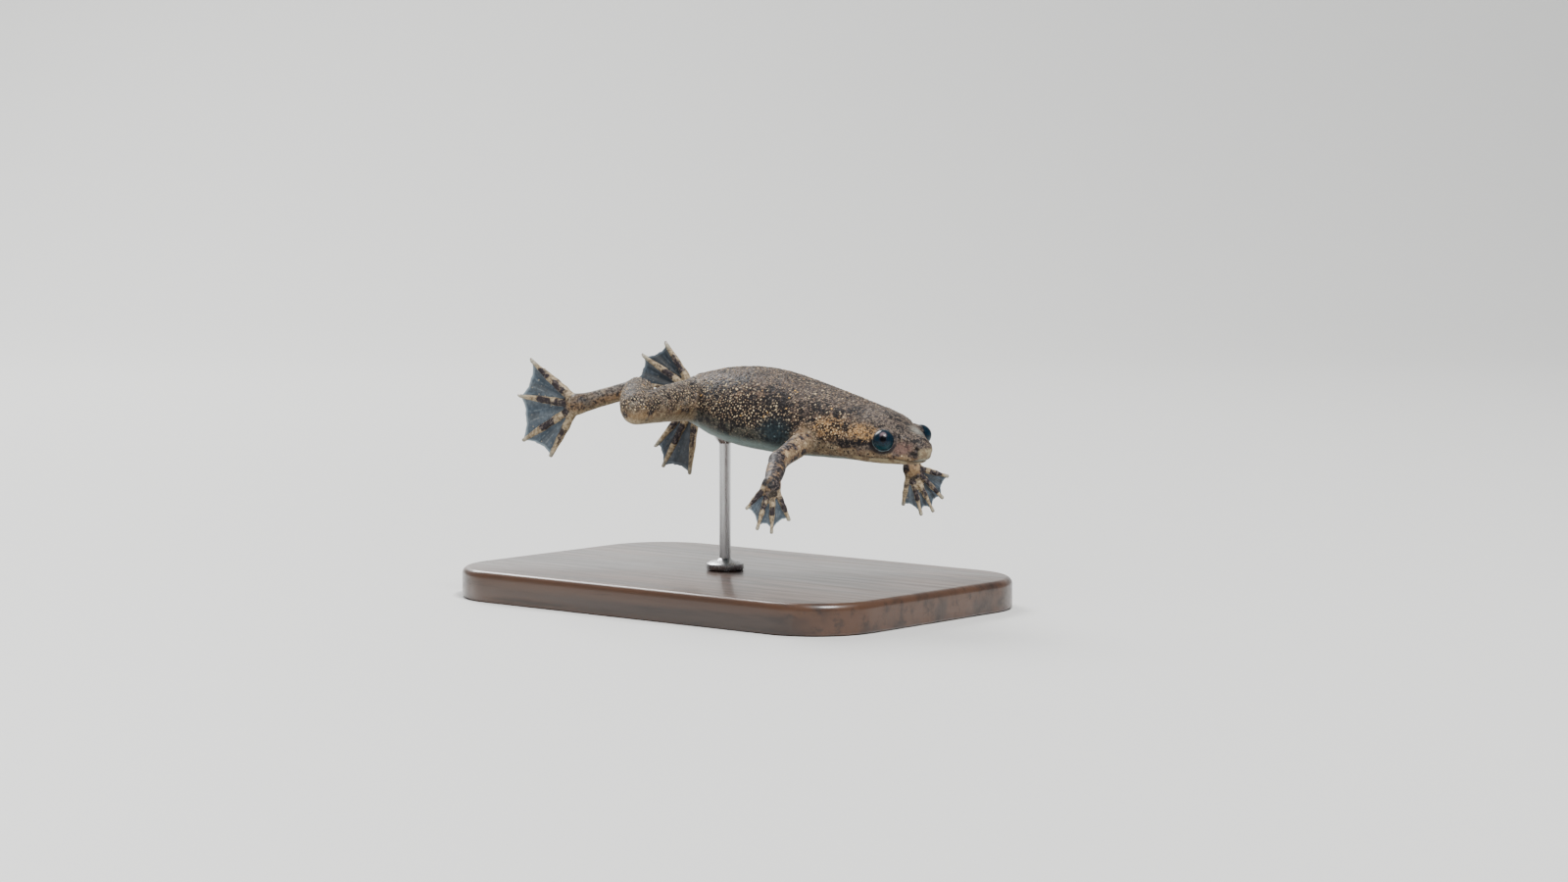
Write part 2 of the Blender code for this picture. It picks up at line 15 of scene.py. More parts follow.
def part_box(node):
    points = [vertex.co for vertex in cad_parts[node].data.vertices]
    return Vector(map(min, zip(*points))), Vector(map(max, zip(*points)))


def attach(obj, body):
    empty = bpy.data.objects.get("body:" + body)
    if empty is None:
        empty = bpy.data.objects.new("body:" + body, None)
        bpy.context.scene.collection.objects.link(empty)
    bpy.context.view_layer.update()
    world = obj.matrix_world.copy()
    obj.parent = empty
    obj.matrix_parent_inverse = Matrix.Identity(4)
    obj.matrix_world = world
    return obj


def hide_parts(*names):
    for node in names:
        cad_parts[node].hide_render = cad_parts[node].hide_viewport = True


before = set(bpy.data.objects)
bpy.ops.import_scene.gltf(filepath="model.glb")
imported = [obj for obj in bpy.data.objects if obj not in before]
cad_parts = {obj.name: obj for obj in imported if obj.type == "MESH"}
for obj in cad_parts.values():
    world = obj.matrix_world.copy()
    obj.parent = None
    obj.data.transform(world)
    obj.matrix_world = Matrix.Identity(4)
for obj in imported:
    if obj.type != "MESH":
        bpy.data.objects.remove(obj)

bl_info = {
    "name": "Dwarf clawed frog",
    "version": (1, 0, 0),
    "blender": (4, 5, 0),
    "location": "3D View > Sidebar > Frog",
    "description": "Builds the skin, webs, eyes, claws, stand and stage of a swimming dwarf clawed frog",
    "category": "Object",
}

# Driving sizes in millimetres and angles in degrees
MILLIMETRE = 0.001
BODY_LENGTH = 35.0
BODY_PITCH = 6.5
BODY_MIDDLE = 6.4
BODY_HEIGHT = 22.0
HEAD_TURN = -5.0
HEAD_ROLL = 3.0
NECK_PLACE = 25.2
RUMP_ROUNDING = 2.6
SNOUT_ROUNDING = 0.9

# Body sections: place from the rump, back, belly, half width, level of the widest line
BODY_SECTIONS = (
    (0.0, 2.4, -1.2, 3.0, 0.4),
    (3.0, 3.7, -2.4, 4.6, 0.3),
    (6.5, 4.7, -3.3, 6.1, 0.1),
    (10.5, 5.2, -3.6, 7.0, -0.2),
    (14.0, 5.1, -3.6, 6.9, -0.4),
    (18.5, 4.6, -3.3, 6.1, -0.5),
    (22.0, 4.2, -2.95, 5.4, -0.6),
    (25.2, 3.75, -2.6, 4.9, -0.6),
    (28.0, 3.4, -2.4, 4.4, -0.6),
    (30.0, 3.0, -2.2, 3.8, -0.6),
    (31.6, 2.3, -2.0, 3.0, -0.6),
    (33.4, 1.5, -1.75, 1.9, -0.5),
    (34.3, 1.2, -1.3, 1.35, -0.3),
    (35.0, 0.95, -0.9, 1.1, -0.1),
)
BACK_FULLNESS = 2.1
BELLY_FULLNESS = 2.5

# Head, in the body's own axes: place, side, level
EYE_PLACE = 31.0
EYE_HEADING = 48.0
EYE_RISE = 14.0
NOSTRIL = (34.37, 1.18, 0.17)
MOUTH_CORNER = 29.3
MOUTH_LEVEL_CORNER = -1.35
MOUTH_LEVEL_FRONT = -1.25
MOUTH_FRONT = 33.8

# Joints in the body's axes, then bones: length and radii from the body outwards
SHOULDER = (21.2, 4.6, -0.7)
HIP = (3.2, 3.0, 0.7)
UPPER_ARM = (6.4, (1.35, 1.2, 1.1, 1.0))
FOREARM = (5.8, (1.0, 1.05, 0.95, 0.8))
THIGH = (11.4, (2.3, 2.15, 1.88, 1.66))
SHANK = (10.8, (1.75, 1.85, 1.8, 1.6, 1.1))
KNEE_DROP = 0.22
CALF_PLACE = 0.66
CALF_SHIFT = 0.34
CALF_SIZE = (3.0, 1.68, 1.7)
TARSUS = (7.0, (1.05, 0.98, 1.0, 1.1))

# Heading of each bone: 0 ahead, 90 outwards, 180 behind; then its rise
POSE = {
    "right": {
        "upper_arm": (82.0, -18.0),
        "forearm": (58.0, -20.5),
        "thigh": (84.0, -1.5),
        "shank": (-131.5, 7.5),
        "tarsus": (134.0, -15.2),
    },
    "left": {
        "upper_arm": (64.0, -11.5),
        "forearm": (-52.0, -23.5),
        "thigh": (90.0, -2.0),
        "shank": (-130.0, 7.0),
        "tarsus": (136.0, -15.2),
    },
}

# Fans of digits: heading of the level line and depth of the web's bays, then for each digit
# the angle above that line, the reach, the lift out of the fan, the share that the web before
# it reaches, and its bands: pairs of where a colour starts and how dark it is
FANS = {
    "hand_right": {
        "level": 130.0,
        "bay": 0.1,
        "digits": (
            (-43.5, 3.9, 0.0, 0.97, ((0.0, 0.35), (0.18, 0.9), (0.8, 0.1))),
            (-72.0, 5.2, 0.0, 0.9, ((0.0, 0.9), (0.3, 0.6), (0.42, 0.85), (0.55, 0.35), (0.68, 0.05))),
            (-90.0, 5.4, 0.0, 0.88, ((0.0, 0.9), (0.22, 0.3), (0.42, 0.9), (0.62, 0.05))),
            (-116.0, 4.5, 0.0, 0.9, ((0.0, 0.2), (0.25, 0.85), (0.76, 0.1))),
        ),
    },
    "hand_left": {
        "level": 40.0,
        "bay": 0.1,
        "digits": (
            (-14.0, 4.3, 0.0, 0.95, ((0.0, 0.85), (0.3, 0.2), (0.42, 0.8), (0.84, 0.1))),
            (-44.5, 5.0, 0.0, 0.93, ((0.0, 0.9), (0.25, 0.6), (0.4, 0.85), (0.6, 0.75), (0.85, 0.1))),
            (-63.5, 5.6, 0.0, 0.9, ((0.0, 0.5), (0.25, 0.25), (0.5, 0.6), (0.7, 0.1))),
            (-78.0, 5.5, 0.0, 0.9, ((0.0, 0.75), (0.3, 0.35), (0.45, 0.65), (0.68, 0.1))),
            (-102.0, 4.4, 0.0, 0.93, ((0.0, 0.2), (0.3, 0.6), (0.5, 0.2), (0.8, 0.1))),
        ),
    },
    "foot_right": {
        "level": 166.0,
        "bay": 0.08,
        "digits": (
            (38.5, 6.1, 0.7, 0.97, ((0.0, 0.3), (0.4, 0.7), (0.7, 0.15))),
            (39.0, 7.9, 0.0, 0.97, ((0.0, 0.35), (0.25, 0.85), (0.5, 0.2), (0.62, 0.9), (0.84, 0.1))),
            (5.5, 7.8, 0.0, 0.97, ((0.0, 0.9), (0.36, 0.35), (0.44, 0.95), (0.7, 0.15))),
            (-31.5, 8.4, 0.0, 0.97, ((0.0, 0.9), (0.22, 0.15), (0.4, 0.95), (0.66, 0.1))),
            (-59.5, 7.1, 0.0, 0.95, ((0.0, 0.15), (0.4, 0.8), (0.62, 0.3), (0.8, 0.1))),
        ),
    },
    "foot_left": {
        "level": 192.0,
        "bay": 0.06,
        "digits": (
            (53.0, 7.6, 0.0, 0.97, ((0.0, 0.1), (0.4, 0.8), (0.78, 0.15))),
            (30.0, 8.9, 0.0, 0.97, ((0.0, 0.6), (0.2, 0.1), (0.42, 0.85), (0.62, 0.45), (0.8, 0.1))),
            (8.0, 8.9, 0.0, 0.97, ((0.0, 0.3), (0.4, 0.8), (0.6, 0.3))),
            (-47.5, 8.8, 0.0, 0.5, ((0.0, 0.3), (0.45, 0.8), (0.7, 0.1))),
            (-61.0, 10.1, 0.0, 0.97, ((0.0, 0.3), (0.4, 0.85), (0.68, 0.15))),
            (-82.5, 9.6, 0.0, 0.97, ((0.0, 0.45), (0.4, 0.75), (0.65, 0.15))),
        ),
    },
}
WEB_FOLD = ("foot_left", 2)
DIGIT_SPREAD = 1.15
DIGIT_START = 0.3
PALM_AHEAD = 0.45
FINGER_RADII = (0.38, 0.33, 0.3, 0.34, 0.28, 0.31, 0.23, 0.2, 0.22)
TOE_RADII = (0.5, 0.46, 0.42, 0.47, 0.39, 0.42, 0.33, 0.27, 0.24)
FOLD_RADII = (0.4, 0.33, 0.28, 0.22, 0.16)
PALM_SIZE = (1.1, 0.95, 0.48)
SOLE_SIZE = (1.1, 1.0, 0.6)
CLAWED_TOES = 3
CLAW_LENGTH = 0.45
CLAW_HIDDEN = 0.75
BASE_CORNER = 8.0

# Limbs by the fan at their end: root, bones outwards, size of the palm, radii of the digits
LIMBS = {
    "hand": (SHOULDER, {"upper_arm": UPPER_ARM, "forearm": FOREARM}, PALM_SIZE, FINGER_RADII),
    "foot": (HIP, {"thigh": THIGH, "shank": SHANK, "tarsus": TARSUS}, SOLE_SIZE, TOE_RADII),
}

# Softness of the fillet round each form
FILLETS = {"upper_arm": 1.0, "forearm": 0.5, "palm": 0.8, "digit": 0.22, "lid": 0.3, "brow": 0.35}
FILLETS |= {"thigh": 1.1, "shank": 0.14, "calf": 0.3, "tarsus": 0.5}

# Lids: how far the ring lies behind the eye's centre and inside its radius, and its thickness;
# then the hollow round the eye: distance from the ball, depth and width
LID_BEHIND = 0.3
LID_INSIDE = 0.02
LID_THICKNESS = 0.15
HOLLOW_PLACE = 0.42
HOLLOW_DEPTH = 0.1
HOLLOW_WIDTH = 0.16
BROW_SIZE = (1.1, 0.68, 0.56)
UNEVENNESS = 0.035
CORNEA_SWELL = 0.05
CORNEA_WIDTH = 0.75
CLAW_RADIUS = 0.22
CLAW_POINT = 0.012
CLAW_CURVE = 0.12

# Small relief of the skin, as depth, distance from its line and width: the mouth between its
# lips, the nostril in its rim
LIP_RELIEF = ((0.2, 0.0, 0.09), (-0.08, 0.3, 0.2), (-0.06, -0.28, 0.2))
NOSTRIL_RELIEF = ((0.5, 0.0, 0.15), (-0.12, 0.34, 0.13))

SIDES = {"left": 1.0, "right": -1.0}
FLESH = ["head", "torso"] + [
    f"{part}_{side}"
    for side in SIDES
    for part in ("upper_arm", "forearm", "hand", "thigh", "shank", "tarsus", "foot")
]

# How far each web is darker than that of the right foot
WEB_SHADE = {"foot_right": 0.0, "foot_left": 0.75, "hand_right": 0.25, "hand_left": 0.45}

# Dark stripe behind the eye: place and level of its bend, then its slope ahead of it and behind
STRIPE = (26.2, -0.48, 0.26, -0.15)

# How far dark blotches cover the skin of each form
BLOTCHES = {"upper": 0.34, "forearm": 0.46, "hand": 0.85}
BLOTCHES |= {"thigh": 0.12, "shank": 0.1, "tarsus": 0.4, "foot": 0.6}
BLOTCH_DEFAULT = 0.12

# Oval markings in the body's own axes, of which the pit is painted shade under the arm: centre,
# half sizes, and the distances in half sizes from which and to which they fade in
OVALS = {
    "pit": ((17.7, 0.0, -0.7), (2.4, math.inf, 2.0), 1.25, 0.2),
    "temple": ((28.3, 0.0, 1.15), (2.1, math.inf, 1.0), 1.25, 0.5),
    "shoulder": ((24.2, 0.0, 1.0), (2.2, math.inf, 1.4), 1.3, 0.3),
    "snout": ((34.1, 1.35, -0.4), (0.5, 0.5, 0.32), 1.4, 0.5),
    "rose": ((33.0, 0.0, 0.1), (1.3, math.inf, 0.75), 1.25, 0.4),
}

# Blotches of the arms and the right leg: place, radius, and how much darker or paler they are
SPOTS = (
    (-0.3, -13.6, 22.4, 0.5, 1.0),
    (-0.35, -13.4, 23.0, 0.45, 0.9),
    (-0.45, -11.3, 23.2, 0.6, 0.9),
    (-2.3, -15.9, 23.5, 0.6, 0.8),
    (-0.6, -15.3, 23.2, 0.5, -0.9),
    (-0.5, -9.3, 22.5, 0.45, -0.9),
    (15.9, -9.7, 18.9, 0.42, 1.0),
    (16.1, -8.5, 18.9, 0.36, 1.0),
    (16.2, -11.6, 18.3, 0.7, 1.0),
    (16.8, -12.6, 17.9, 0.6, 0.9),
    (18.0, -13.7, 17.0, 0.6, 0.9),
    (17.7, -15.1, 16.6, 0.5, 0.9),
    (18.9, -15.7, 15.3, 0.55, 1.0),
    (16.9, -11.3, 17.8, 0.65, -1.0),
    (18.4, -14.6, 16.6, 0.65, -1.0),
    (16.3, -9.9, 18.4, 0.45, -0.8),
    (20.7, 5.3, 16.5, 0.9, -0.9),
    (20.4, 5.5, 17.5, 0.9, -0.8),
    (-11.7, -10.6, 22.8, 0.55, 1.0),
    (-10.8, -9.3, 23.9, 0.5, 0.6),
)

# Painted shade at the right ankle and wrist, as bluish dark patches added to the pit's mask: place and radius
SHADED = ((-12.1, -11.3, 22.6, 0.75), (18.5, -16.1, 15.8, 0.45))

# Painted highlight on the skin of the left brow, added to the mask of pale tips: place and radius
BROW_HIGHLIGHT = (26.2, 0.15, 20.85, 0.75)

# Larger pale granules of the right side: place in the body's own axes, and radius
PEARLS = (
    (6.66, -4.62, 3.26, 0.19),
    (9.39, -5.33, 3.3, 0.16),
    (11.31, -5.62, 3.18, 0.16),
    (13.2, -4.4, 3.9, 0.12),
    (20.08, -2.64, 3.95, 0.17),
    (20.13, -1.47, 4.27, 0.15),
    (17.1, -5.6, 2.3, 0.15),
    (22.6, -4.6, 1.9, 0.14),
    (33.09, -2.1, -0.67, 0.1),
)

# The view: heading of the camera round the frog, its height above the level, what it aims at
VIEW_HEADING = 40.0
VIEW_RISE = 5.0
VIEW_TARGET = (9.093, -2.111, 18.87)
VIEW_DISTANCE = 450.0
VIEW_LENS = 93.15

# Lights: how far toward the camera, beside it and above the target in metres, size, power
LIGHTS = {
    "key_light": (0.27, 0.16, 0.56, 0.2, 6.5),
    "fill_light": (0.5, -0.5, 0.2, 0.5, 1.3),
    "rim_light": (-0.42, -0.25, 0.4, 0.3, 4.5),
}
SKY_COLOUR = (0.9, 0.93, 1.0, 1.0)
SKY_STRENGTH = 0.24

# Studio floor: how far it comes forward, where it bends up, radius of the bend, its top and half width
FLOOR_FRONT = -900.0
FLOOR_BEND = 420.0
FLOOR_RADIUS = 260.0
FLOOR_TOP = 1400.0
FLOOR_HALF = 1400.0

# Collars of the rod: radius beyond the rod, and height above its foot or its top
FOOT_COLLAR = ((1.35, 0.02), (1.5, 0.2), (1.45, 0.75), (1.0, 1.0), (0.35, 1.1), (0.0, 1.35))
TOP_COLLAR = ((0.0, -1.2), (0.05, -1.1), (0.5, -0.5), (0.55, -0.1))

# Sides and steps of the meshes
RING_SIDES = 20
BODY_SIDES = 64
EYE_SIDES = 64
CLAW_SIDES = 12
WEB_COLUMNS = 24
WEB_ROWS = 26
FLOOR_STEPS = 12

# Granules: shape, sunk centre, least and greatest size, densest spread a square metre, and the
# vertices of a ball of each roundness
GRANULE_SHAPE = (1.2, 0.86, 0.6)
GRANULE_CENTRE = (0.0, 0.0, -0.14)
GRANULE_SIZES = (0.6, 1.3)
GRANULE_DENSITY = 3.0e7
BALL_CORNERS = {1: 12, 2: 42}
PEARL_CHANCE = 1.15
PATCH_SIZE = 0.0015

# Masks that the markings read from the mesh
MASKS = (
    "belly flank low pit golden stripe lip rose seam head tan blotch digit band tip under eye_shade "
    "granular limb"
).split()

# Colours of the markings beside those in the settings; noise mixes the two of a pair.
# Some are painted light and shade: the lit tint of granule tops, and shade between granules, round the eyes
# and under the arms
LIGHT_BROWN = (0.135, 0.1, 0.077)
RUST = (0.24, 0.125, 0.06)
LEG_TOP = (0.21, 0.19, 0.155)
OLIVE = ((0.04, 0.043, 0.035), (0.095, 0.088, 0.066))
WORM_PALE = (0.25, 0.205, 0.155)
WORM_DARK = (0.026, 0.022, 0.023)
ROSE = (0.2, 0.115, 0.092)
TAN_DARK = (0.13, 0.092, 0.058)
TAN_PALE = (0.48, 0.38, 0.24)
STAIN_EDGE = (0.16, 0.09, 0.05)
STAIN = ((0.012, 0.01, 0.012), (0.1, 0.078, 0.07))
UNDERSIDE = ((0.2, 0.16, 0.1), (0.36, 0.3, 0.2))
BELLY_DARK = (0.08, 0.1, 0.1)
PIT_SHADE_DARK = (0.007, 0.011, 0.014)
LIP = ((0.33, 0.27, 0.165), (0.19, 0.135, 0.08))
LID_SHADE = (0.012, 0.01, 0.012)
# Painted shade between granules
GAP_SHADE_TINT = (0.3, 0.28, 0.28)
LIT_TINT = (1.9, 1.85, 1.75)
BEAD_TAN = (0.27, 0.19, 0.125)
BEAD_BROWN = (0.2, 0.135, 0.085)
BEAD_GOLD = (0.55, 0.36, 0.16)
AMBER = (0.6, 0.34, 0.1)
MIST = (0.075, 0.11, 0.115)
BAND_PALE = ((0.19, 0.14, 0.085), (0.42, 0.33, 0.21))
BAND_DARK = ((0.022, 0.017, 0.02), (0.12, 0.095, 0.085))
# Pale digit tips, and the painted highlight of the left brow
TIP_AND_BROW_HIGHLIGHT = (0.36, 0.37, 0.32)

# Colours of webs and eyes
SLATE_DEEP = (0.04, 0.058, 0.078)
SLATE_MIDDLE = (0.024, 0.029, 0.035)
SLATE_RAY = (0.21, 0.24, 0.245)
SLATE_SPOT = (0.03, 0.04, 0.05)
SLATE_SPECK = (0.42, 0.36, 0.26)
SLATE_BESIDE = (0.17, 0.18, 0.17)
WEB_SHADOW = (0.3, 0.31, 0.34)
IRIS_DARK = (0.0015, 0.006, 0.012)
IRIS_ARC = (0.008, 0.06, 0.068)
# Painted highlight: the pinkish white laid on the eye above the pupil
IRIS_PAINTED_HIGHLIGHT = (0.32, 0.22, 0.23)
IRIS_RING = (0.006, 0.006, 0.01)
PUPIL_BLACK = (0.001, 0.001, 0.002)
EYE_EDGE = (0.003, 0.008, 0.014)
RIM_DARK = (0.16, 0.22, 0.24)
EYE_BACK = (0.05, 0.04, 0.036)


def length_setting(name, description, default):
    """Make a setting for a length in metres."""
    return bpy.props.FloatProperty(name=name, description=description, default=default, unit="LENGTH")


def colour_setting(name, description, default):
    """Make a setting for a colour."""
    return bpy.props.FloatVectorProperty(
        name=name, description=description, default=default, subtype="COLOR"
    )


class SkinSettings(bpy.types.PropertyGroup):
    """Sizes and colours of the skin."""

    voxel: length_setting("Mesh step", "Edge length of the skin's mesh in metres", 0.00017)
    back: colour_setting("Back", "Mauve-brown of the back", (0.085, 0.06, 0.047))
    dark: colour_setting("Dark spots", "Near-black of the spots", (0.008, 0.0065, 0.0075))
    cream: colour_setting("Cream granules", "Pale tops of granules", (0.46, 0.36, 0.225))
    golden: colour_setting("Golden patches", "Temple and shoulder", (0.42, 0.24, 0.095))
    limb: colour_setting("Limbs", "Tan of arms and legs", (0.25, 0.18, 0.105))
    # The belly is pale of its own, and partly painted rim and fill light along its lower margin
    belly: colour_setting("Belly", "Pale grey-green of the belly", (0.22, 0.29, 0.275))
    # Painted shade under the arms and at the right ankle and wrist
    shade: colour_setting("Flank shade", "Blue-grey low on the flank", (0.018, 0.036, 0.043))


class GranuleSettings(bpy.types.PropertyGroup):
    """Sizes of the granules on the skin."""

    spacing: length_setting("Spacing", "Least distance between fine granules", 0.0002)
    radius: length_setting("Radius", "Radius of a middling fine granule", 0.000105)
    bead_spacing: length_setting("Bead spacing", "Least distance between cream beads", 0.00029)
    bead_radius: length_setting("Bead radius", "Radius of a middling cream bead", 0.00011)
    seed: bpy.props.IntProperty(name="Seed", description="Seed of the granules' places", default=7)


class WebSettings(bpy.types.PropertyGroup):
    """Thickness and colours of the webs."""

    thickness: length_setting("Thickness", "Thickness of a web", 0.00016)
    slate: colour_setting("Web", "Slate blue of the webs", (0.075, 0.1, 0.125))
    # The free edge is painted pale as rim light
    rim: colour_setting("Free edge", "Pale blue free edge", (0.25, 0.31, 0.35))


class EyeSettings(bpy.types.PropertyGroup):
    """Sizes and colours of the eyes."""

    pupil: bpy.props.FloatProperty(
        name="Pupil",
        description="Radius of the pupil as an angle",
        default=math.radians(15.5),
        subtype="ANGLE",
    )
    iris: colour_setting("Iris", "Dark teal of the iris", (0.004, 0.021, 0.038))
    rim: colour_setting("Rim", "Pale blue ring round the eye", (0.2, 0.33, 0.38))


class StandSettings(bpy.types.PropertyGroup):
    """Finish of the display stand."""

    bevel: length_setting("Bevel", "Width of the base's bevel", 0.0008)
    wood: colour_setting("Wood", "Dark stained wood", (0.035, 0.016, 0.009))


class StageSettings(bpy.types.PropertyGroup):
    """Light and floor of the studio."""

    light: bpy.props.FloatProperty(name="Light", description="Strength of the key light", default=1.0)
    floor: colour_setting("Floor", "Pale floor", (0.72, 0.72, 0.7))


def between(stations, place, column):
    """Read one column of a table of stations as a smooth curve through its rows."""
    place = min(max(place, stations[0][0]), stations[-1][0])
    index = max(i for i in range(len(stations) - 1) if stations[i][0] <= place)
    low, high = stations[index], stations[index + 1]
    before = stations[max(index - 1, 0)]
    after = stations[min(index + 2, len(stations) - 1)]
    span = high[0] - low[0]
    slope_low = (high[column] - before[column]) / (high[0] - before[0]) * span
    slope_high = (after[column] - low[column]) / (after[0] - low[0]) * span
    t = (place - low[0]) / span
    return (
        (2 * t**3 - 3 * t**2 + 1) * low[column]
        + (t**3 - 2 * t**2 + t) * slope_low
        + (3 * t**2 - 2 * t**3) * high[column]
        + (t**3 - t**2) * slope_high
    )


def smooth_values(values, count=33):
    """Return evenly spread values on a smooth curve through a few."""
    stations = [(index / (len(values) - 1), value) for index, value in enumerate(values)]
    return np.array([between(stations, step / (count - 1), 1) for step in range(count)])


def step_up(low, high, values):
    """Return 0 below low, 1 above high and a smooth rise between them."""
    share = np.clip((values - low) / (high - low), 0.0, 1.0)
    return share * share * (3.0 - 2.0 * share)


def bump_at(distance, width):
    """Return a soft hill of height 1 that falls off over a width."""
    return np.exp(-((distance / width) ** 2))


BODY_PLACES = np.linspace(0.0, BODY_LENGTH, 351)
BODY_CURVES = [
    np.array([between(BODY_SECTIONS, place, column) for place in BODY_PLACES]) for column in range(1, 5)
]


def body_values(place):
    """Return back, belly, half width and widest level of the full body at many places."""
    return [np.interp(place, BODY_PLACES, curve) for curve in BODY_CURVES]


def rounding(place):
    """Return how much of its full section the body keeps near its two round ends."""
    from_rump = np.clip(place / RUMP_ROUNDING, 0.0, 1.0)
    from_snout = np.clip((BODY_LENGTH - place) / SNOUT_ROUNDING, 0.0, 1.0)
    return np.sqrt(1.0 - (1.0 - np.minimum(from_rump, from_snout)) ** 2)


def head_turn(place, back_again=False):
    """Return the head's turn at many places, as one matrix each."""
    share = np.clip((place - NECK_PLACE) / (EYE_PLACE - NECK_PLACE), 0.0, 1.0)
    if back_again:
        share = -share
    turn, roll = np.radians(HEAD_TURN) * share, np.radians(HEAD_ROLL) * share
    one, none = np.ones_like(share), np.zeros_like(share)
    turns = [[np.cos(turn), -np.sin(turn), none], [np.sin(turn), np.cos(turn), none], [none, none, one]]
    rolls = [[one, none, none], [none, np.cos(roll), -np.sin(roll)], [none, np.sin(roll), np.cos(roll)]]
    turns, rolls = np.array(turns).transpose(2, 0, 1), np.array(rolls).transpose(2, 0, 1)
    return rolls @ turns if back_again else turns @ rolls


NECK = np.array([NECK_PLACE, 0.0, 0.0])
MIDDLE = np.array([BODY_MIDDLE, 0.0, 0.0])
TILT = np.array(Matrix.Rotation(math.radians(BODY_PITCH), 3, "Y"))


def posed(points):
    """Move points from the body's own axes to their places above the stand."""
    points = np.atleast_2d(np.asarray(points, dtype=float))
    turned = NECK + np.einsum("nij,nj->ni", head_turn(points[:, 0]), points - NECK)
    return (turned - MIDDLE) @ TILT.T + (0.0, 0.0, BODY_HEIGHT)


def unposed(points):
    """Move points above the stand back to the body's own axes."""
    level = (points - (0.0, 0.0, BODY_HEIGHT)) @ TILT + MIDDLE
    place = level[:, 0]
    for _ in range(3):
        turned = NECK + np.einsum("nij,nj->ni", head_turn(place, True), level - NECK)
        place = turned[:, 0]
    return turned


def heading(side, angle, rise):
    """Return the unit vector of an outward heading and a rise, on one side of the frog."""
    turn, rise = math.radians(angle), math.radians(rise)
    flat = math.cos(rise)
    return np.array([math.cos(turn) * flat, SIDES[side] * math.sin(turn) * flat, math.sin(rise)])


def unit(vector):
    """Return a vector at length 1."""
    return vector / np.linalg.norm(vector)


def apart(points, place):
    """Return how far each point lies from one place."""
    return np.linalg.norm(points - place, axis=1)


def square_to(axis):
    """Return two unit vectors square to a direction and to each other."""
    helper = np.array([0.0, 0.0, 1.0]) if abs(axis[2]) < 0.9 else np.array([1.0, 0.0, 0.0])
    first = unit(np.cross(axis, helper))
    return first, np.cross(axis, first)


def circle(across, up, sides):
    """Return points round a circle of radius 1 that two directions span."""
    turns = np.linspace(0.0, 2.0 * math.pi, sides, endpoint=False)
    return np.cos(turns)[:, None] * across + np.sin(turns)[:, None] * up


class Bone:
    """A round limb or digit from one point to another, whose radius follows a few values."""

    def __init__(self, name, start, end, radii, softness):
        self.name = name
        self.start = np.asarray(start, dtype=float)
        self.radii = smooth_values(radii)
        self.softness = softness
        self.axis = np.asarray(end, dtype=float) - self.start
        self.across, self.up = square_to(unit(self.axis))

    def share(self, points):
        """Return how far along the bone each point lies."""
        return np.clip((points - self.start) @ self.axis / (self.axis @ self.axis), 0.0, 1.0)

    def distance(self, points):
        """Return how far outside the limb each point lies."""
        share = self.share(points)
        radius = np.interp(share, np.linspace(0.0, 1.0, len(self.radii)), self.radii)
        return np.linalg.norm(points - self.start - share[:, None] * self.axis, axis=1) - radius

    def rings(self):
        """Return rings of points for a closed mesh of the limb."""
        length = np.linalg.norm(self.axis)
        first, last = self.radii[0], self.radii[-1]
        caps = [(math.sin(turn), math.cos(turn)) for turn in np.radians((30.0, 60.0, 85.0))]
        stops = [(-first * reach, first * width) for reach, width in reversed(caps)]
        for share in np.linspace(0.0, 1.0, 14):
            stops.append((share * length, self.radii[int(round(share * (len(self.radii) - 1)))]))
        stops += [(length + last * reach, last * width) for reach, width in caps]
        ring = circle(self.across, self.up, RING_SIDES)
        return [self.start + self.axis / length * stop + ring * radius for stop, radius in stops]


class Lump:
    """A flattened ball along three axes, such as a palm or a muscle."""

    def __init__(self, name, centre, axes, sizes, softness):
        self.name = name
        self.centre = np.asarray(centre, dtype=float)
        self.axes = np.array(axes)
        self.sizes = np.asarray(sizes, dtype=float)
        self.softness = softness

    def share(self, points):
        """Return a middling share: a lump has no length."""
        return np.full(len(points), 0.5)

    def distance(self, points):
        """Return about how far outside the lump each point lies."""
        local = (points - self.centre) @ self.axes.T
        near = np.linalg.norm(local / self.sizes, axis=1) + 1e-9
        steep = np.linalg.norm(local / self.sizes**2, axis=1) + 1e-9
        return near * (near - 1.0) / steep

    def rings(self):
        """Return rings of points for a closed mesh of the lump."""
        ahead, across, up = np.eye(3)
        ring = circle(across, up, RING_SIDES)
        made = []
        for tip in np.radians(np.linspace(-85.0, 85.0, 13)):
            local = ahead * math.sin(tip) + ring * math.cos(tip)
            made.append(self.centre + (local * self.sizes) @ self.axes)
        return made


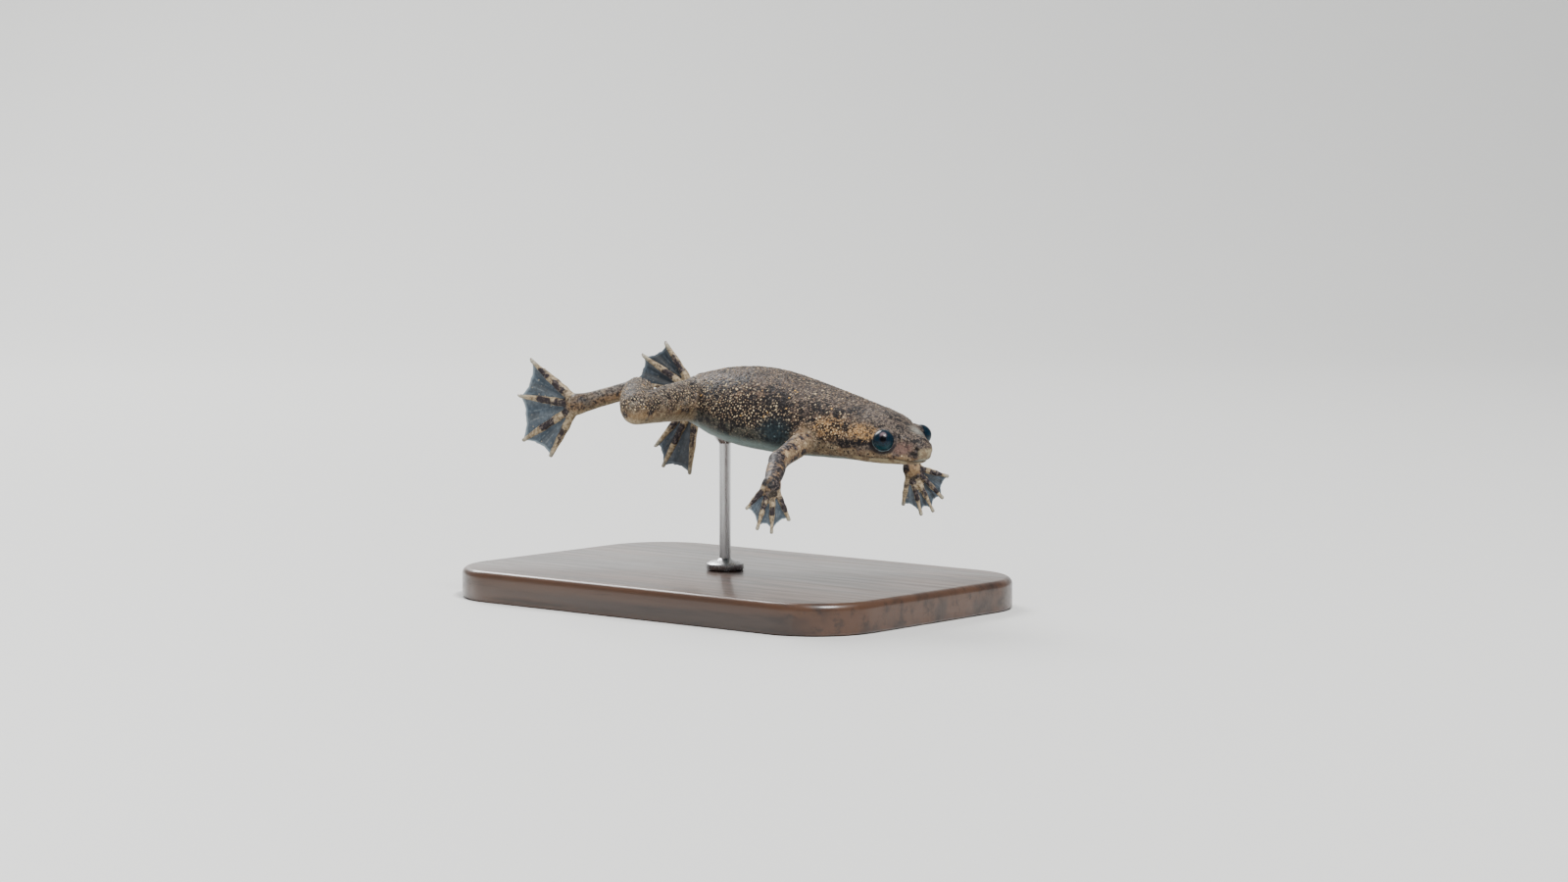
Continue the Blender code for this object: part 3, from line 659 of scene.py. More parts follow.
class Fan:
    """A hand or foot: where its digits start and end, and the plane of its webs."""

    def __init__(self, side, kind, root):
        self.name = f"{kind}_{side}"
        self.size, self.radii = LIMBS[kind][2:]
        settings = FANS[self.name]
        self.bay = settings["bay"]
        self.root = root
        level = heading(side, settings["level"], 0.0)
        up = np.array([0.0, 0.0, 1.0])
        self.normal = np.cross(level, up)
        given = settings["digits"]
        middle = math.radians(sum(digit[0] for digit in given) / len(given))
        across = level * -math.sin(middle) + up * math.cos(middle)
        ahead = level * math.cos(middle) + up * math.sin(middle)
        spread = self.size[1] * DIGIT_SPREAD
        self.digits = []
        for index, (angle, reach, lift, web, _) in enumerate(given):
            turn = math.radians(angle)
            tip = root + (level * math.cos(turn) + up * math.sin(turn)) * reach + self.normal * lift
            offset = 0.5 - index / (len(given) - 1)
            base = root + across * offset * spread + ahead * spread * DIGIT_START
            toe = (self.name, index) != WEB_FOLD
            self.digits.append({"base": base, "tip": tip, "web": web, "lift": lift, "toe": toe})
        self.ahead = unit(sum(digit["tip"] for digit in self.digits) / len(self.digits) - root)
        self.across = unit(np.cross(self.ahead, self.normal))
        toes = [digit for digit in self.digits if digit["toe"]]
        self.clawed = toes[:CLAWED_TOES] if kind == "foot" else []

    def reach(self, digit):
        """Return where the flesh of a digit ends, short of any claw."""
        along = unit(digit["tip"] - digit["base"])
        short = CLAW_LENGTH * CLAW_HIDDEN if any(digit is clawed for clawed in self.clawed) else 0.0
        return digit["tip"] - along * short

    def forms(self):
        """Return the palm and the digits."""
        centre = self.root + self.ahead * self.size[0] * PALM_AHEAD
        axes = (self.ahead, self.across, self.normal)
        made = [Lump(self.name + "_palm", centre, axes, self.size, FILLETS["palm"])]
        for index, digit in enumerate(self.digits):
            radii = self.radii if digit["toe"] else FOLD_RADII
            end = self.reach(digit)
            end = end - unit(end - digit["base"]) * radii[-1]
            made.append(Bone(f"{self.name}_digit_{index}", digit["base"], end, radii, FILLETS["digit"]))
        return made


def calf(side, knee, ankle):
    """Return the muscle that swells the shank on the side of the thigh."""
    inner = heading(side, -40.0, 0.0)
    along = unit(ankle - knee)
    centre = knee + (ankle - knee) * CALF_PLACE + inner * CALF_SHIFT
    axes = (along, inner, np.cross(along, inner))
    return Lump(f"shank_{side}_calf", centre, axes, CALF_SIZE, FILLETS["calf"])


def limb_forms(side, kind):
    """Return the forms of one arm or leg without its fan, and the place of its last joint."""
    root, bones = LIMBS[kind][:2]
    start = posed((root[0], SIDES[side] * root[1], root[2]))[0]
    forms = []
    for name, (length, radii) in bones.items():
        joint = start + heading(side, *POSE[side][name]) * length
        end = joint - (0.0, 0.0, KNEE_DROP) if name == "thigh" else joint
        forms.append(Bone(f"{name}_{side}", start, end, radii, FILLETS[name]))
        if name == "shank":
            forms.append(calf(side, start, joint))
        start = joint
    return forms, start


def body_distance(own):
    """Return about how far outside the body each point lies, in the body's own axes."""
    place = np.clip(own[:, 0], 0.0, BODY_LENGTH)
    back, belly, half_width, widest = body_values(place)
    above = own[:, 2] > widest
    height = np.where(above, back - widest, widest - belly)
    fullness = np.where(above, BACK_FULLNESS, BELLY_FULLNESS)
    side, level = np.abs(own[:, 1]), np.abs(own[:, 2] - widest)
    out = np.hypot(side, level)
    share = ((side / half_width) ** fullness + (level / height) ** fullness) ** (1.0 / fullness)
    radius = np.where(share > 1e-6, out / np.maximum(share, 1e-6), half_width)
    beyond = np.maximum(np.maximum(-own[:, 0], own[:, 0] - BODY_LENGTH), 0.0)
    return np.hypot(out, beyond) - radius * rounding(place)


def mouth_level(place):
    """Return the level of the line of the mouth at many places."""
    share = np.clip((place - MOUTH_CORNER) / (MOUTH_FRONT - MOUTH_CORNER), 0.0, 1.0)
    straight = MOUTH_LEVEL_CORNER + (MOUTH_LEVEL_FRONT - MOUTH_LEVEL_CORNER) * share
    return straight + 0.22 * np.sin(math.pi * share)


def eye_centre(side):
    """Return the centre and the radius of one eye of the frame, in millimetres."""
    low, high = box_of("eye_" + side)
    return (low + high) / 2.0, float((high - low).mean() / 2.0)


def eye_axis(side):
    """Return the direction that one eye faces."""
    return heading(side, EYE_HEADING + SIDES[side] * HEAD_TURN, EYE_RISE)


def brow(side, centre, radius, axis):
    """Return the swelling of skin that leans on the upper inner part of an eye."""
    place = centre + (np.array([0.0, -0.72 * SIDES[side], 0.56]) + axis * 0.06) * radius
    return Lump("brow_" + side, place, np.eye(3), BROW_SIZE, FILLETS["brow"])


def soft_union(first, second, softness):
    """Join two distances with a soft fillet."""
    share = np.clip(0.5 + 0.5 * (second - first) / softness, 0.0, 1.0)
    return second * (1.0 - share) + first * share - softness * share * (1.0 - share)


def ring_distance(points, centre, axis, radius, thickness):
    """Return how far outside a ring each point lies."""
    local = points - centre
    along = local @ axis
    out = np.linalg.norm(local - along[:, None] * axis, axis=1)
    return np.hypot(out - radius, along) - thickness


def folded(own):
    """Return points in the body's own axes with both sides laid on the left one."""
    return np.stack([own[:, 0], np.abs(own[:, 1]), own[:, 2]], axis=1)


def from_nostrils(own):
    """Return how far each point lies from the nearer nostril."""
    return apart(folded(own), NOSTRIL)


def relief_at(relief, distance):
    """Return the depth of furrows and ridges at a distance from their line."""
    return sum(depth * bump_at(distance - offset, width) for depth, offset, width in relief)


def head_relief(own):
    """Return how far the head's small forms lower the skin, in the body's own axes."""
    place, side, level = folded(own).T
    near_mouth = step_up(MOUTH_CORNER - 0.3, MOUTH_CORNER + 0.5, place)
    relief = near_mouth * relief_at(LIP_RELIEF, level - mouth_level(place))
    relief += relief_at(NOSTRIL_RELIEF, from_nostrils(own))
    ridge = np.hypot(side - (NOSTRIL[1] + (EYE_PLACE - place) * -0.45), level - 1.25)
    relief -= 0.12 * bump_at(ridge, 0.4) * step_up(31.6, 32.4, place) * step_up(34.9, 34.0, place)
    cheek = np.hypot(place - 33.0, (level - 0.1) * 1.2)
    relief += 0.14 * bump_at(cheek, 0.75) * step_up(0.8, 1.6, side)
    return relief + 0.12 * bump_at(side, 0.9) * step_up(29.0, 31.0, place) * step_up(34.2, 32.8, place)


def unevenness(points):
    """Return a gentle irregular swell over the skin."""
    waves = ((0.9, 0.5, 0.7, 0.3), (-0.6, 1.1, 0.4, 1.9), (0.4, -0.8, 1.3, 4.1), (1.7, 1.2, -0.9, 2.2))
    total = np.zeros(len(points))
    for x, y, z, shift in waves:
        total += np.sin(points @ np.array([x, y, z]) * 1.6 + shift)
    return total / len(waves)


class Frog:
    """The whole animal: its forms, its fans and the distance to its skin."""

    def __init__(self):
        self.forms = []
        self.fans = []
        for side in SIDES:
            ends = {}
            for kind in LIMBS:
                forms, ends[kind] = limb_forms(side, kind)
                self.forms += forms
            for kind, end in ends.items():
                self.fans.append(Fan(side, kind, end))
                self.forms += self.fans[-1].forms()
        self.eyes = {side: (*eye_centre(side), eye_axis(side)) for side in SIDES}
        self.brows = {side: brow(side, *eye) for side, eye in self.eyes.items()}

    def distance(self, points):
        """Return about how far outside the skin each point lies, in millimetres."""
        own = unposed(points)
        total = body_distance(own)
        head = own[:, 0] > MOUTH_CORNER - 2.0
        total[head] += head_relief(own[head])
        total += creases(own)
        for form in self.forms:
            total = soft_union(form.distance(points), total, form.softness)
        for side, (centre, radius, axis) in self.eyes.items():
            ring = (centre - axis * LID_BEHIND, axis, radius - LID_INSIDE, LID_THICKNESS)
            total = soft_union(ring_distance(points, *ring), total, FILLETS["lid"])
            total = soft_union(self.brows[side].distance(points), total, FILLETS["brow"])
            hollow = apart(points, centre) - (radius + HOLLOW_PLACE)
            total += HOLLOW_DEPTH * bump_at(hollow, HOLLOW_WIDTH)
        return total + UNEVENNESS * unevenness(points) + arm_folds(self.forms, points)


def arm_folds(forms, points):
    """Return the fine folds of skin where each upper arm leaves the shoulder."""
    fold = np.zeros(len(points))
    for form in forms:
        if not form.name.startswith("upper_arm"):
            continue
        along = (points - form.start) @ unit(form.axis)
        slant = along + 0.35 * (points[:, 2] - form.start[2])
        near = step_up(1.4, 0.2, form.distance(points)) * bump_at(slant - 1.7, 1.1)
        fold += 0.09 * near * np.cos(slant * 2.0 * math.pi / 0.5)
    return fold


def creases(own):
    """Return folds of the trunk, as how far they lower the skin: behind the arm, groin and neck."""
    place, side, level = folded(own).T
    armpit = np.abs(place - 18.9 - 0.35 * (level + 1.0))
    fold = 0.22 * bump_at(armpit, 0.4) * step_up(0.9, -0.4, level) * step_up(3.0, 4.5, side)
    groin = np.abs(place - 6.6 + 0.3 * (level - 0.5))
    fold += 0.1 * bump_at(groin, 0.8) * step_up(2.6, 1.2, level) * step_up(2.6, 4.0, side)
    neck = np.abs(place - 25.4 + 0.25 * level)
    fold += 0.04 * bump_at(neck, 0.9) * step_up(3.2, 1.5, level) * step_up(-1.6, -0.6, level)
    return fold


def skin_rings(rings):
    """Return vertices and faces of a closed surface through rings of points."""
    sides = len(rings[0])
    vertices = np.concatenate(list(rings) + [[rings[0].mean(axis=0)], [rings[-1].mean(axis=0)]])
    faces = []
    for row in range(len(rings) - 1):
        for step in range(sides):
            here, after = row * sides + step, row * sides + (step + 1) % sides
            faces.append((here, after, after + sides, here + sides))
    for row, centre in ((0, len(vertices) - 2), (len(rings) - 1, len(vertices) - 1)):
        for step in range(sides):
            faces.append((row * sides + step, row * sides + (step + 1) % sides, centre))
    return vertices, faces


def body_rings():
    """Return rings of the body for its rough mesh."""
    ends = np.array([0.01, 0.06, 0.15, 0.3, 0.5, 0.75])
    places = np.concatenate(
        [
            ends * RUMP_ROUNDING,
            np.arange(RUMP_ROUNDING, BODY_LENGTH - SNOUT_ROUNDING, 0.5),
            BODY_LENGTH - ends[::-1] * SNOUT_ROUNDING,
        ]
    )
    across, up = circle((1.0, 0.0), (0.0, 1.0), BODY_SIDES).T
    power = 2.0 / np.where(up > 0.0, BACK_FULLNESS, BELLY_FULLNESS)
    rings = []
    for place in places:
        back, belly, half_width, widest = body_values(place)
        share = rounding(np.array([place]))[0]
        height = np.where(up > 0.0, back - widest, widest - belly) * share
        side = np.sign(across) * np.abs(across) ** power * half_width * share
        level = widest + np.sign(up) * np.abs(up) ** power * height
        rings.append(posed(np.stack([np.full(BODY_SIDES, place), side, level], axis=1)))
    return rings


def linked(name, data):
    """Make an object and link it to the scene."""
    item = bpy.data.objects.new(name, data)
    bpy.context.scene.collection.objects.link(item)
    return item


def mesh_object(name, vertices, faces):
    """Make an object from points in millimetres, with its normals facing out."""
    mesh = bpy.data.meshes.new(name)
    mesh.from_pydata([tuple(vertex) for vertex in vertices], [], faces)
    form = bmesh.new()
    form.from_mesh(mesh)
    bmesh.ops.recalc_face_normals(form, faces=form.faces)
    form.to_mesh(mesh)
    form.free()
    return linked(name, mesh)


def in_metres(item, material_name):
    """Scale a piece from millimetres to metres, smooth it and give it its material."""
    item.data.transform(Matrix.Scale(MILLIMETRE, 4))
    item.data.materials.clear()
    item.data.materials.append(bpy.data.materials[material_name])
    item.data.shade_smooth()


def finished(item, material_name):
    """Finish a piece and let it ride on the frame."""
    in_metres(item, material_name)
    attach(item, "root")
    return item


def evaluated_mesh(item):
    """Return an object's mesh after its modifiers, which are then taken off."""
    graph = bpy.context.evaluated_depsgraph_get()
    mesh = bpy.data.meshes.new_from_object(item.evaluated_get(graph))
    item.modifiers.clear()
    return mesh


def points_of(mesh):
    """Return a mesh's vertices as an array."""
    flat = np.empty(len(mesh.vertices) * 3)
    mesh.vertices.foreach_get("co", flat)
    return flat.reshape(-1, 3)


def set_points(mesh, points):
    """Put an array of points into a mesh's vertices."""
    mesh.vertices.foreach_set("co", points.ravel())
    mesh.update()


def edges_of(mesh):
    """Return a mesh's edges as an array of pairs."""
    flat = np.empty(len(mesh.edges) * 2, dtype=np.int64)
    mesh.edges.foreach_get("vertices", flat)
    return flat.reshape(-1, 2)


def relaxed(points, edges, share):
    """Move each point part of the way to the middle of its neighbours."""
    total = np.zeros_like(points)
    count = len(points)
    for near, far in ((edges[:, 0], edges[:, 1]), (edges[:, 1], edges[:, 0])):
        for axis in range(3):
            total[:, axis] += np.bincount(near, weights=points[far, axis], minlength=count)
    degree = np.bincount(edges.ravel(), minlength=count)[:, None]
    return points + (total / np.maximum(degree, 1) - points) * share


def drawn_to(points, distance, steps=1):
    """Move points onto the surface where a distance is zero."""
    reach = 0.01
    for _ in range(steps):
        here = distance(points)
        slope = np.empty_like(points)
        for axis in range(3):
            moved = points.copy()
            moved[:, axis] += reach
            slope[:, axis] = (distance(moved) - here) / reach
        steep = np.maximum((slope**2).sum(axis=1), 0.2)
        step = -here / steep
        step = np.clip(step, -0.25, 0.25)
        points = points + slope * step[:, None]
    return points


def rough_frog(frog, voxel):
    """Return one closed rough skin: every form joined and meshed anew by voxels."""
    vertices, faces = [], []
    for rings in [body_rings()] + [form.rings() for form in frog.forms]:
        points, quads = skin_rings(rings)
        start = sum(len(part) for part in vertices)
        vertices.append(points)
        faces += [tuple(index + start for index in face) for face in quads]
    item = mesh_object("frog_skin", np.concatenate(vertices), faces)
    remesh = item.modifiers.new("skin", "REMESH")
    remesh.mode = "VOXEL"
    remesh.voxel_size = voxel
    item.data = evaluated_mesh(item)
    return item


def finer_head(item):
    """Split the faces of the head once, so that lids, nostrils and lips come out crisp."""
    form = bmesh.new()
    form.from_mesh(item.data)
    places = unposed(np.array([vertex.co for vertex in form.verts]))[:, 0]
    head = [
        edge for edge in form.edges if all(places[vertex.index] > MOUTH_CORNER - 1.0 for vertex in edge.verts)
    ]
    bmesh.ops.subdivide_edges(form, edges=head, cuts=1, use_grid_fill=True)
    form.to_mesh(item.data)
    form.free()


def nearest_form(frog, points):
    """Return for each point the nearest form's number, or -1 for the body, and its share along it."""
    nearest = np.full(len(points), -1)
    best = body_distance(unposed(points)) - 0.05
    share = np.zeros(len(points))
    for index, form in enumerate(frog.forms):
        distance = form.distance(points)
        closer = distance < best
        best = np.where(closer, distance, best)
        nearest[closer] = index
        share[closer] = form.share(points[closer])
    return nearest, share


def band_values(bands, share):
    """Return how dark a digit is along it, from the starts of its bands."""
    value = np.full(len(share), bands[0][1])
    for (start, dark), (_, before) in zip(bands[1:], bands):
        value += (dark - before) * step_up(start - 0.025, start + 0.025, share)
    return value


def digit_masks(frog, nearest, share):
    """Return masks of the digits, how dark their bands are, and their pale tips."""
    digit, band, tip = (np.zeros(len(share)) for _ in range(3))
    for index, form in enumerate(frog.forms):
        if "_digit_" not in form.name:
            continue
        fan_name, number = form.name.split("_digit_")
        bands = FANS[fan_name]["digits"][int(number)][4]
        here = nearest == index
        digit[here] = step_up(0.0, 0.12, share[here])
        band[here] = band_values(bands, share[here])
        tip[here] = step_up(0.86, 1.0, share[here])
    return digit, band, tip


def limb_mask(frog, points):
    """Return how much each point belongs to a limb rather than the body."""
    body = body_distance(unposed(points))
    limbs = np.full(len(points), 99.0)
    for form in frog.forms:
        limbs = np.minimum(limbs, form.distance(points))
    return step_up(-0.9, 0.9, body - limbs)


def unwrap_of(frog, points, nearest, share):
    """Return a flat place for each point on a map of the skin's own shape."""
    own = unposed(points)
    around = np.arctan2(own[:, 2], own[:, 1]) / (2.0 * math.pi) + 0.5
    flat = np.stack([0.02 + 0.96 * own[:, 0] / BODY_LENGTH, 0.02 + 0.5 * around], axis=1)
    rows = 12
    columns = math.ceil(len(frog.forms) / rows)
    for index, form in enumerate(frog.forms):
        here = nearest == index
        if isinstance(form, Bone):
            local = points[here] - form.start
            turn = np.arctan2(local @ form.up, local @ form.across)
            along = share[here]
        else:
            local = (points[here] - form.centre) @ form.axes.T
            turn = np.arctan2(local[:, 2], local[:, 1])
            along = local[:, 0] / form.sizes[0] / 2.0 + 0.5
        column, row = index // rows, index % rows
        flat[here, 0] = (column + 0.05 + 0.9 * np.clip(along, 0.0, 1.0)) / columns
        flat[here, 1] = 0.54 + 0.46 * (row + 0.05 + 0.9 * (turn / (2.0 * math.pi) + 0.5)) / rows
    return np.clip(flat, 0.0, 1.0)


def oval(name, own):
    """Return the mask of one oval marking."""
    centre, sizes, far, near = OVALS[name]
    return step_up(far, near, np.linalg.norm((folded(own) - centre) / sizes, axis=1))


def body_masks(own):
    """Return the masks of the trunk's and head's markings, in the body's own axes."""
    place, side, level = folded(own).T
    back, belly, _, widest = body_values(np.clip(place, 0.0, BODY_LENGTH))
    height = np.where(level > widest, back - widest, widest - belly)
    rung = (level - widest) / np.maximum(height, 0.3)
    head = step_up(25.6, 28.0, place)
    chest = step_up(18.5, 21.5, place)
    flank = step_up(0.95, 0.38, rung) * step_up(-0.1, 0.1, rung) * (1.0 - head)
    stripe = np.abs(level - STRIPE[1] - np.where(place > STRIPE[0], *STRIPE[2:]) * (place - STRIPE[0]))
    stripe = step_up(0.6, 0.32, stripe) * step_up(22.6, 24.5, place) * step_up(30.6, 30.0, place)
    stripe *= 0.55 + 0.45 * step_up(25.2, 26.2, place)
    from_mouth = level - mouth_level(place)
    jaw = step_up(0.06, -0.12, from_mouth) * step_up(26.0, 28.0, place)
    lip = np.maximum(jaw, step_up(34.45, 34.8, place) * step_up(0.45, -0.05, level))
    near_mouth = step_up(MOUTH_CORNER - 0.2, MOUTH_CORNER + 0.6, place)
    # Painted shade: the mouth's groove and the nostrils' holes are darkened
    seam = (0.45 + 0.45 * step_up(32.4, 33.4, place)) * near_mouth * bump_at(from_mouth, 0.07)
    golden = np.maximum(oval("temple", own), 0.75 * oval("shoulder", own))
    return {
        "head": head,
        # own pale belly, partly painted rim and fill light along the lower margin
        "belly": step_up(-0.3 - 0.32 * chest, -0.72 - 0.2 * chest, rung) * (1.0 - 0.4 * head),
        "flank": flank * (0.5 + 0.5 * step_up(21.0, 16.0, place)),
        "low": step_up(0.1, -0.12, rung) * (1.0 - head),
        # painted shade under the arm
        "pit": oval("pit", own),
        "golden": golden * step_up(1.5, 3.0, side),
        "stripe": np.maximum(stripe, 0.9 * oval("snout", own)) * step_up(0.4, 0.9, side),
        "lip": lip,
        "cheek": step_up(-0.3, -0.75, level) * step_up(20.5, 23.5, place) * (1.0 - lip),
        "rose": oval("rose", own) * step_up(0.7, 1.3, side),
        "seam": np.maximum(seam, 1.2 * bump_at(from_nostrils(own), 0.22)),
    }


def eye_shade(frog, points):
    """Return the painted shade: a dark crescent on the skin under and behind each eye."""
    shade = np.zeros(len(points))
    for centre, radius, axis in frog.eyes.values():
        local = points - centre
        out = np.linalg.norm(local - (local @ axis)[:, None] * axis, axis=1)
        under = np.maximum(step_up(0.2, -0.5, local[:, 2]), 0.8 * step_up(0.5, 1.2, local[:, 0]))
        close = step_up(radius + 1.1, radius + 0.6, np.linalg.norm(local, axis=1))
        shade = np.maximum(shade, bump_at(out - radius - 0.14, 0.22) * under * close)
    return shade


def store(mesh, **values):
    """Store numbers for the vertices of a mesh, by name."""
    for name, numbers in values.items():
        layer = mesh.attributes.new(name, "FLOAT", "POINT")
        layer.data.foreach_set("value", np.ascontiguousarray(numbers, dtype=np.float32))


def get_attribute(mesh, name):
    """Read the numbers that are stored for the vertices of a mesh."""
    values = np.empty(len(mesh.vertices), dtype=np.float32)
    mesh.attributes[name].data.foreach_get("value", values)
    return values


def from_spot(points, spot, size):
    """Return a soft hill of height 1 round one spot."""
    return bump_at(apart(points, spot), size)


def blotch_mask(kinds, points):
    """Return how far dark blotches cover the skin, from each form's own share and the traced spots."""
    blotch = np.full(len(points), BLOTCH_DEFAULT)
    for name, dark in BLOTCHES.items():
        blotch[kinds == name] = dark
    for *spot, size, strength in SPOTS:
        blotch += 0.6 * strength * from_spot(points, spot, size)
    return np.clip(blotch, -0.6, 1.0)


def mark_skin(frog, mesh, points):
    """Store on the skin every mask that its material and its granules read."""
    nearest, share = nearest_form(frog, points)
    limb = limb_mask(frog, points)
    masks = {name: values * (1.0 - limb) for name, values in body_masks(unposed(points)).items()}
    cheek = masks.pop("cheek")
    digit, band, tip = digit_masks(frog, nearest, share)
    normals = np.empty(len(points) * 3)
    mesh.vertices.foreach_get("normal", normals)
    normals = normals.reshape(-1, 3)
    # The bands pale toward the digits' edges: partly the digits' own pale edges, partly painted rim light
    for fan in frog.fans:
        own = [index for index, form in enumerate(frog.forms) if form.name.startswith(fan.name)]
        here = np.isin(nearest, own)
        band[here] -= 0.55 * step_up(0.75, 0.3, np.abs(normals[here] @ fan.normal))
    upward = normals[:, 2]
    low_side = step_up(0.35, -0.15, upward)
    kinds = np.array(["body"] + [form.name.split("_")[0] for form in frog.forms])[nearest + 1]
    leg = np.isin(kinds, ("thigh", "shank"))
    shin = kinds == "tarsus"
    tan = limb * np.where(leg, step_up(0.3, -0.45, upward), np.where(shin, 0.35 + 0.3 * low_side, 1.0))
    masks["limb"], masks["digit"], masks["band"] = limb, digit, band
    # Pale digit tips, and a painted highlight on the left brow
    masks["tip"] = np.maximum(tip, 0.9 * from_spot(points, BROW_HIGHLIGHT[:3], BROW_HIGHLIGHT[3]))
    masks["eye_shade"] = eye_shade(frog, points)
    masks["under"] = limb * step_up(-0.3, -0.85, upward)
    masks["tan"] = np.maximum(tan, 0.75 * cheek)
    masks["golden"] = np.where(shin, 0.8 * low_side, masks["golden"])
    masks["blotch"] = blotch_mask(kinds, points)
    for *spot, size in SHADED:
        masks["pit"] = np.maximum(masks["pit"], 0.7 * from_spot(points, spot, size))
    from_eyes = [apart(points, centre) - radius for centre, radius, _ in frog.eyes.values()]
    smooth = masks["belly"] * 1.3 + masks["lip"] + digit * 2.0 + 0.6 * cheek + 0.8 * masks["pit"]
    rough = np.clip(1.0 - smooth, 0.0, 1.0) * step_up(0.3, 0.7, np.minimum(*from_eyes))
    rough *= 1.0 - limb * np.where(leg, step_up(0.1, -0.5, upward), 0.9)
    rough *= 1.0 - 0.5 * masks["head"] * (1.0 - masks["golden"])
    rough[np.isin(kinds, ("hand", "foot", "tarsus", "forearm"))] = 0.0
    masks["granular"] = rough
    beads = 0.85 * masks["flank"] ** 1.5 + 0.8 * masks["golden"] + 0.05 * masks["head"] + 0.05
    beads += np.where(leg, 1.2 * limb * bump_at(upward - 0.25, 0.5), 0.0)
    masks["beaded"] = np.clip(beads, 0.0, 1.0) * rough * (1.0 - masks["seam"])
    masks["map_u"], masks["map_v"] = unwrap_of(frog, points, nearest, share).T
    store(mesh, **masks)


class Nodes:
    """A node tree with short ways to add nodes and join them."""

    def __init__(self, tree, place=None):
        self.tree = tree
        self.place = place

    def feed(self, socket, value):
        """Join another socket to this one, or set its value."""
        if isinstance(value, bpy.types.NodeSocket):
            self.tree.links.new(value, socket)
        else:
            socket.default_value = (*value, 1.0) if socket.type == "RGBA" else value

    def add(self, kind, inputs=(), **settings):
        """Add a node, set it up and feed its inputs, which are named or numbered."""
        made = self.tree.nodes.new(kind)
        for name, value in settings.items():
            setattr(made, name, value)
        for name, value in dict(inputs).items():
            self.feed(made.inputs[name], value)
        return made

    def dress(self, shader, **values):
        """Feed the inputs of a shader."""
        for label, value in values.items():
            self.feed(shader.inputs[label.replace("_", " ")], value)

    def stored(self, name):
        """Read one number that is stored on the mesh, in a shader."""
        return self.add("ShaderNodeAttribute", attribute_name=name).outputs["Fac"]

    def named(self, name):
        """Read one number that is stored on the mesh, in Geometry Nodes."""
        kind = "GeometryNodeInputNamedAttribute"
        return self.add(kind, {"Name": name}, data_type="FLOAT").outputs["Attribute"]

    def random(self, low, high, seed):
        """Draw a number for each point."""
        inputs = {2: low, 3: high, "Seed": seed}
        return self.add("FunctionNodeRandomValue", inputs, data_type="FLOAT").outputs[1]

    def noise(self, scale, detail=2.0, roughness=0.55, place=None):
        """Return soft noise of a scale, in turns per metre."""
        place = self.place if place is None else place
        inputs = {"Vector": place, "Scale": scale, "Detail": detail, "Roughness": roughness}
        return self.add("ShaderNodeTexNoise", inputs).outputs["Fac"]

    def cells(self, scale):
        """Return the distance in and the random colour of cells of a scale."""
        made = self.add("ShaderNodeTexVoronoi", {"Vector": self.place, "Scale": scale})
        return made.outputs["Distance"], made.outputs["Color"]

    def stretched(self, *scale):
        """Return the place on the object, stretched along each axis."""
        return self.add("ShaderNodeMapping", {"Vector": self.place, "Scale": scale}).outputs[0]

    def joined(self, first, second):
        """Return two numbers as a place."""
        return self.add("ShaderNodeCombineXYZ", {"X": first, "Y": second}).outputs[0]

    def rise(self, value, low, high, start=0.0, end=1.0):
        """Map a value smoothly from one range to another."""
        inputs = {"Value": value, "From Min": low, "From Max": high, "To Min": start, "To Max": end}
        return self.add("ShaderNodeMapRange", inputs, interpolation_type="SMOOTHSTEP").outputs["Result"]

    def sum(self, operation, first, second=0.5, clamped=True):
        """Do one sum on two values, kept between 0 and 1 unless told otherwise."""
        made = self.add("ShaderNodeMath", {0: first, 1: second}, operation=operation, use_clamp=clamped)
        return made.outputs[0]

    def times(self, first, *others):
        """Multiply values, each product kept between 0 and 1."""
        for other in others:
            first = self.sum("MULTIPLY", first, other)
        return first

    def mix(self, share, first, second, kind="MIX"):
        """Mix two colours."""
        inputs = {0: share, 6: first, 7: second}
        return self.add("ShaderNodeMix", inputs, data_type="RGBA", blend_type=kind).outputs[2]

    def layers(self, colour, *coats):
        """Lay colours over a first one, each by its share."""
        for share, coat in coats:
            colour = self.mix(share, colour, coat)
        return colour

    def channel(self, colour, index):
        """Return one channel of a colour."""
        return self.add("ShaderNodeSeparateColor", {"Color": colour}).outputs[index]

    def bumped(self, height, strength, distance):
        """Return a normal bent by a height."""
        inputs = {"Height": height, "Strength": strength, "Distance": distance}
        return self.add("ShaderNodeBump", inputs).outputs["Normal"]


def new_group(kind, name, inputs, outputs):
    """Make a node group and return its nodes, its inputs and the inputs of its output node."""
    tree = bpy.data.node_groups.new(name, kind)
    for way, sockets in (("INPUT", inputs), ("OUTPUT", outputs)):
        for label, value in sockets.items():
            tree.interface.new_socket(label, in_out=way, socket_type="NodeSocket" + value)
    given, result = tree.nodes.new("NodeGroupInput"), tree.nodes.new("NodeGroupOutput")
    return Nodes(tree), given.outputs, result.inputs


def new_material(name, **values):
    """Make a Principled material with constants on its shader, and return its nodes and shader."""
    material = bpy.data.materials.new(name)
    material.use_nodes = True
    nodes = Nodes(material.node_tree)
    nodes.place = nodes.add("ShaderNodeTexCoord").outputs["Object"]
    shader = nodes.tree.nodes["Principled BSDF"]
    nodes.dress(shader, **values)
    return nodes, shader


